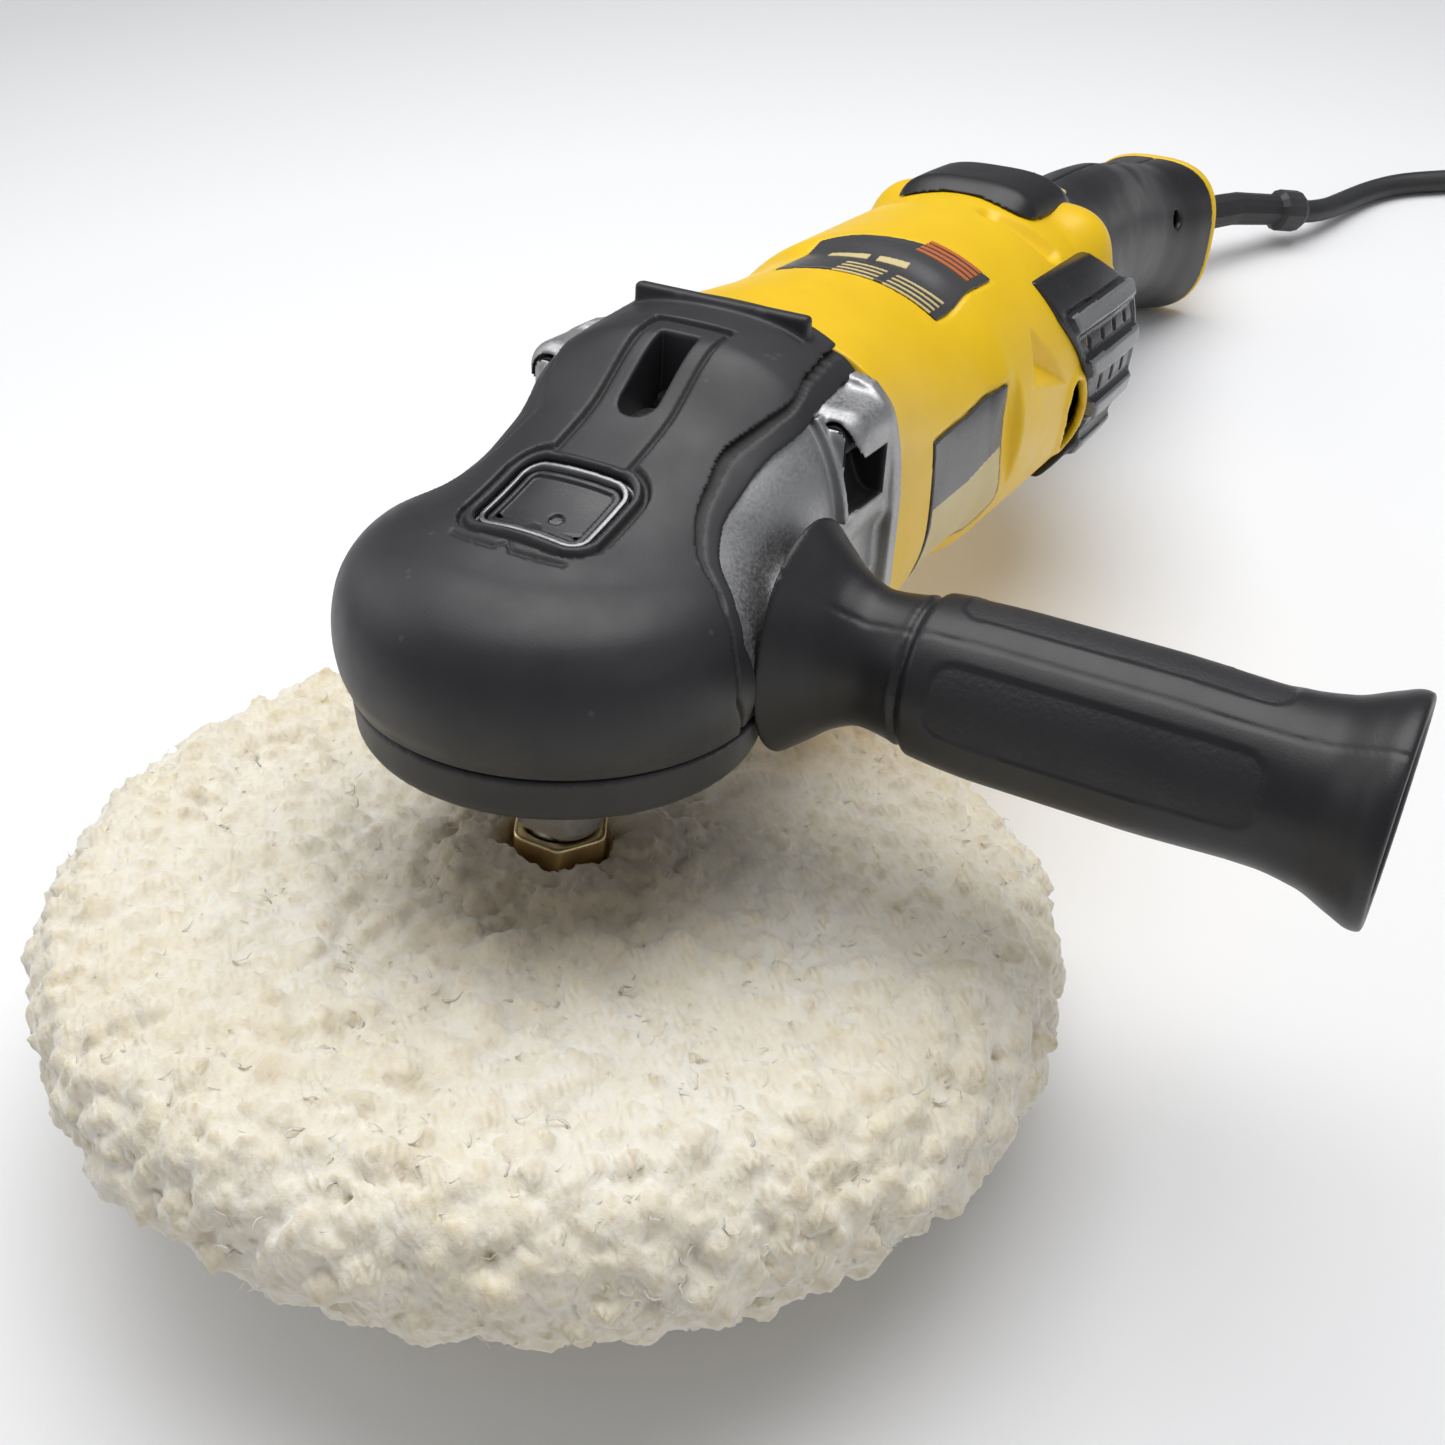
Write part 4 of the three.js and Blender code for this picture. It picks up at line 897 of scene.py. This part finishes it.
def make_cord():
    route = smooth_route(CORD_ROUTE + coil_points() + TAIL_ROUTE, 3)
    curve = bpy.data.curves.new("mains_cord", "CURVE")
    curve.dimensions = "3D"
    curve.bevel_depth = CORD_RADIUS
    curve.bevel_resolution = 6
    curve.use_fill_caps = True
    spline = curve.splines.new("POLY")
    spline.points.add(len(route) - 1)
    for point, place in zip(spline.points, route):
        point.co = (*place, 1)
    cord = bpy.data.objects.new("mains_cord", curve)
    bpy.context.scene.collection.objects.link(cord)
    curve.materials.append(CORD)
    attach(cord, "root")
    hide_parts("power_cord", "cord_tail", "cord_coil")


# ------------------------------------------------------------------ wool pad
PAD_RADIUS, PAD_THICK, PAD_EDGE = 118.0, 38.0, 13.0
MOUND_HEIGHT, MOUND_RADIUS, MOUND_WIDTH = 5.5, 19, 9  # the wool raised round the adapter


def pad_body(radius, z, inset):
    """The pad's rounded section, drawn in by inset, as a distance."""
    half = PAD_THICK / 2 - inset
    edge = PAD_EDGE
    mound = MOUND_HEIGHT * np.exp(-(((radius - MOUND_RADIUS) / MOUND_WIDTH) ** 2))
    z = np.where(z > PAD_THICK / 2, np.maximum(z - mound, PAD_THICK / 2), z)
    p = np.maximum(radius - (PAD_RADIUS - inset) + edge, 0)
    q = np.abs(z - PAD_THICK / 2)
    flat = np.maximum(q - (half - edge), 0)
    return np.sqrt(p * p + flat * flat) - edge


def tuft_places(rng):
    """Where the tufts sit: (x, y, z, outward x, y, z), evenly over the pad's whole surface."""
    places = []
    golden = math.pi * (3 - math.sqrt(5))
    inset, edge = 5.0, PAD_EDGE
    flat = PAD_RADIUS - inset - edge
    half = PAD_THICK / 2 - inset
    for face in (1, -1):
        count = 3600 if face > 0 else 1500
        for i in range(count):
            r = math.sqrt((i + 0.5) / count) * flat + rng.uniform(-1.6, 1.6)
            a = i * golden + rng.uniform(-0.02, 0.02)
            rise = MOUND_HEIGHT * math.exp(-(((r - MOUND_RADIUS) / MOUND_WIDTH) ** 2))
            mound = rise if face > 0 else 0
            if r > (14 if face > 0 else 24):
                z = PAD_THICK / 2 + face * half + mound
                places.append((r * math.cos(a), r * math.sin(a), z, 0, 0, face))
    for row in range(-5, 6):
        bend = row / 5.5 * math.pi / 2
        r = flat + (edge - 1) * math.cos(bend)
        count = int(TAU * r / 3.9)
        for i in range(count):
            a = (i + 0.5 * (row % 2) + rng.uniform(-0.3, 0.3)) / count * TAU
            out = (math.cos(bend) * math.cos(a), math.cos(bend) * math.sin(a), math.sin(bend))
            z = PAD_THICK / 2 + (half - 1) * math.sin(bend)
            places.append((r * math.cos(a), r * math.sin(a), z, *out))
    return places


def ruffled(points, quads, depth):
    """Points pushed in and out along the surface by fine noise."""
    a, b, c, d = (points[quads[:, k]] for k in range(4))
    facing = np.cross(c - a, d - b)
    normal = np.zeros_like(points)
    for k in range(4):
        np.add.at(normal, quads[:, k], facing)
    normal /= np.maximum(np.linalg.norm(normal, axis=1, keepdims=True), 1e-9)
    push = [fine_noise(Vector(p) * 0.55) + 0.6 * fine_noise(Vector(p) * 1.3) for p in points]
    return points + normal * np.array(push)[:, None] * depth


def make_locks(rng, name, places, count):
    """Short curled wisps of wool standing out of the pile."""
    points, faces = [], []
    for place in rng.sample(places, min(count, len(places))):
        out = Vector(place[3:])
        root = Vector(place[:3]) + out * rng.uniform(1.5, 3.5)
        side = out.cross(Vector((rng.uniform(-1, 1), rng.uniform(-1, 1), rng.uniform(-1, 1)))).normalized()
        other = out.cross(side)
        curl = rng.uniform(1.2, 2.4)
        length = rng.uniform(1.0, 3.6)
        thick = rng.uniform(0.3, 0.7)
        bend = rng.uniform(2.5, 4.5)
        first = len(points)
        for i in range(5):
            t = i / 4
            angle = t * bend
            middle = root + out * length * t + side * curl * math.sin(angle)
            middle += other * curl * (1 - math.cos(angle))
            width = thick * (1 - 0.85 * t)
            for k in range(3):
                turn = k * TAU / 3
                points.append(middle + side * width * math.cos(turn) + other * width * math.sin(turn))
        for i in range(4):
            for k in range(3):
                a, b = first + 3 * i + k, first + 3 * i + (k + 1) % 3
                faces.append((a, b, b + 3, a + 3))
        faces.append((first + 2, first + 1, first))
        faces.append((first + 12, first + 13, first + 14))
    placed = np.array(points)
    placed[:, 2] = np.maximum(placed[:, 2], -0.4)
    new_piece(name, to_part(placed), faces, WISP, "spindle")


def make_wool():
    rng = random.Random(7)
    step = 1.25
    low = np.array([-124.0, -124.0, -5.0])
    shape = [int(248 / step), int(248 / step), int(50 / step)]
    axes = [low[k] + np.arange(shape[k]) * step for k in range(3)]
    x, y, z = np.meshgrid(*axes, indexing="ij", sparse=True)
    radius = np.sqrt(x * x + y * y)
    field = np.broadcast_to(pad_body(radius, z, 5.5), shape).astype(np.float32).copy()
    for px, py, pz, ox, oy, oz in tuft_places(rng):
        swell = 1.1 * math.sin(px * 0.16 + 1.3 * math.sin(py * 0.11)) * math.sin(py * 0.17 + pz * 0.2)
        size = rng.triangular(1.8, 4.6, 2.8)
        out = rng.uniform(0.4, 2.6) + swell
        lean = [rng.uniform(-1, 1) for _ in range(3)]
        centre = [px + ox * out + lean[0], py + oy * out + lean[1], pz + oz * out + lean[2] * 0.6]
        stretch = np.array([rng.uniform(0.75, 1.35) for _ in range(3)])
        reach = size * 1.6 + 2
        first = [max(0, int((centre[k] - reach - low[k]) / step)) for k in range(3)]
        last = [min(shape[k], int((centre[k] + reach - low[k]) / step) + 2) for k in range(3)]
        box = tuple(slice(a, b) for a, b in zip(first, last))
        parts = [((axes[k][box[k]] - centre[k]) / stretch[k]) for k in range(3)]
        ball = np.sqrt(parts[0][:, None, None] ** 2 + parts[1][None, :, None] ** 2
                       + parts[2][None, None, :] ** 2) - size
        field[box] = blend_in(field[box], ball.astype(np.float32), 1.5)
    field = np.maximum(field, np.where(z < 34, 23.8, 12.6) - radius)
    band = 3 * step
    grid = openvdb.FloatGrid(background=band)
    grid.copyFromArray(np.ascontiguousarray(np.clip(field, -band, band).astype(np.float32)))
    points, quads = grid.convertToQuads(isovalue=0.0)
    points, quads = np.asarray(points, float) * step + low, np.asarray(quads)[:, ::-1]
    points = ruffled(points, quads, 0.9)
    points[:, 2] = np.maximum(points[:, 2], -0.5)
    piece = new_piece("wool_pile", to_part(points), quads, WOOL, "spindle")
    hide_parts("wool_pad")
    places = tuft_places(rng)
    make_locks(rng, "wool_wisps", places, 3000)


# ------------------------------------------------------------------ spindle and adapter
def draw_adapter(x, y, z):
    away = np.sqrt(x * x + y * y)
    hexagon = np.maximum(np.abs(x), np.abs(x) / 2 + np.abs(y) * math.sqrt(3) / 2) - 10.5
    head = both(both(hexagon, np.abs(z - 42) - 4, 0.6), away - 11.7, 0.8)
    flange = drum(x, y, z, 18, 33.4, 38.4, 1)
    stud = drum(x, y, z, 11, 12, 34)
    return less(np.minimum(blend_in(head, flange, 1), stud), drum(x, y, z, 8.3, 24, 70))


def draw_spindle(x, y, z):
    collar = less(drum(x, y, z, 9.8, 46.4, 73.5, 1.6), np.maximum(7.6 - np.abs(x), z - 70), 0.6)
    thread = drum(x, y, z, 7.7, 26, 47) - 0.25 * np.cos(z * TAU / 2.31)
    shaft = np.minimum(drum(x, y, z, 8.5, 73, 96), drum(x, y, z, 6, 95, 118.8))
    return np.minimum(np.minimum(collar, thread), shaft)


def make_spindle():
    moulding("brass_adapter", draw_adapter, (-18, -18, 12), (18, 18, 46), 0.4, BRASS,
             ["pad_adapter"], "spindle", rounds=1)
    moulding("spindle_shaft", draw_spindle, (-11, -11, 26), (11, 11, 119), 0.5, STEEL,
             ["spindle"], "spindle", rounds=1)


# ------------------------------------------------------------------ CAD nodes that stay
def finish_nodes():
    """Every CAD node gets a procedural material; faceted ones get soft edges."""
    by_slot = {"wool": WOOL, "brass": BRASS, "steel": STEEL, "cast_metal": CAST, "copper": COPPER,
               "black_rubber": RUBBER, "black_plastic": BLACK, "yellow_plastic": YELLOW,
               "name_plate": PLATE, "carbon": CARBON_AND_SHADE}
    slots = {s["node"]: s["material_slot"] for s in frame["record"]["subparts"]}
    for name, node in frame["nodes"].items():
        node.data.materials.clear()
        node.data.materials.append(by_slot[slots[name]])
        bevel = node.modifiers.new("soft_edges", "BEVEL")
        bevel.width = 0.0003
        bevel.segments = 2
        bevel.limit_method = "ANGLE"
        bevel.angle_limit = math.radians(40)
        if name in ("strain_relief", "plug"):
            node.data.shade_smooth()
            bevel.harden_normals = True


# ------------------------------------------------------------------ stage and light
def make_stage():
    """A floor that curves up behind the tool."""
    mesh = bpy.data.meshes.new("floor")
    far, near, bend, high = 2.2, 2.5, 1.0, 2.4
    outline = [(-near, 0.0), (far, 0.0)]
    for i in range(13):
        angle = i / 12 * math.pi / 2
        outline.append((far + bend * math.sin(angle), bend * (1 - math.cos(angle))))
    outline.append((far + bend, high))
    half = 4.0
    away = Vector((-0.92, -0.39, 0)).normalized()
    side = Vector((0, 0, 1)).cross(away)
    points = []
    for run, rise in outline:
        for across in (-half, half):
            points.append(away * run + side * across + Vector((0, 0, rise - 0.0003)))
    faces = [(2 * i, 2 * i + 2, 2 * i + 3, 2 * i + 1) for i in range(len(outline) - 1)]
    mesh.from_pydata(points, [], faces)
    mesh.shade_smooth()
    floor = bpy.data.objects.new("floor", mesh)
    bpy.context.scene.collection.objects.link(floor)
    mesh.materials.append(stage_material())


def area_light(name, place, target, size, power):
    data = bpy.data.lights.new(name, "AREA")
    data.shape = "RECTANGLE"
    data.size, data.size_y = size
    data.energy = power
    light = bpy.data.objects.new(name, data)
    bpy.context.scene.collection.objects.link(light)
    light.location = place
    light.rotation_mode = "QUATERNION"
    light.rotation_quaternion = (Vector(target) - Vector(place)).to_track_quat("-Z", "Y")


def make_light():
    world = bpy.data.worlds.new("studio")
    bpy.context.scene.world = world
    world.use_nodes = True
    background = world.node_tree.nodes["Background"]
    background.inputs["Color"].default_value = (0.92, 0.94, 1.0, 1)
    background.inputs["Strength"].default_value = 0.30
    area_light("above", (-0.28, -0.12, 1.35), (0.03, 0, 0.05), (1.5, 1.3), 20)
    area_light("from_left", (0.2, -1.4, 0.8), (0.05, 0, 0.08), (1.2, 1.0), 4.5)
    area_light("from_right", (0.4, 1.5, 0.9), (0.0, 0, 0.08), (1.0, 0.8), 1.6)
    scene = bpy.context.scene
    scene.view_settings.view_transform = "Standard"
    scene.view_settings.exposure = 0.0


make_cord()
make_head()
make_motor()
make_handle()
make_side_handle()
make_spindle()
make_wool()
finish_nodes()
make_stage()
make_light()
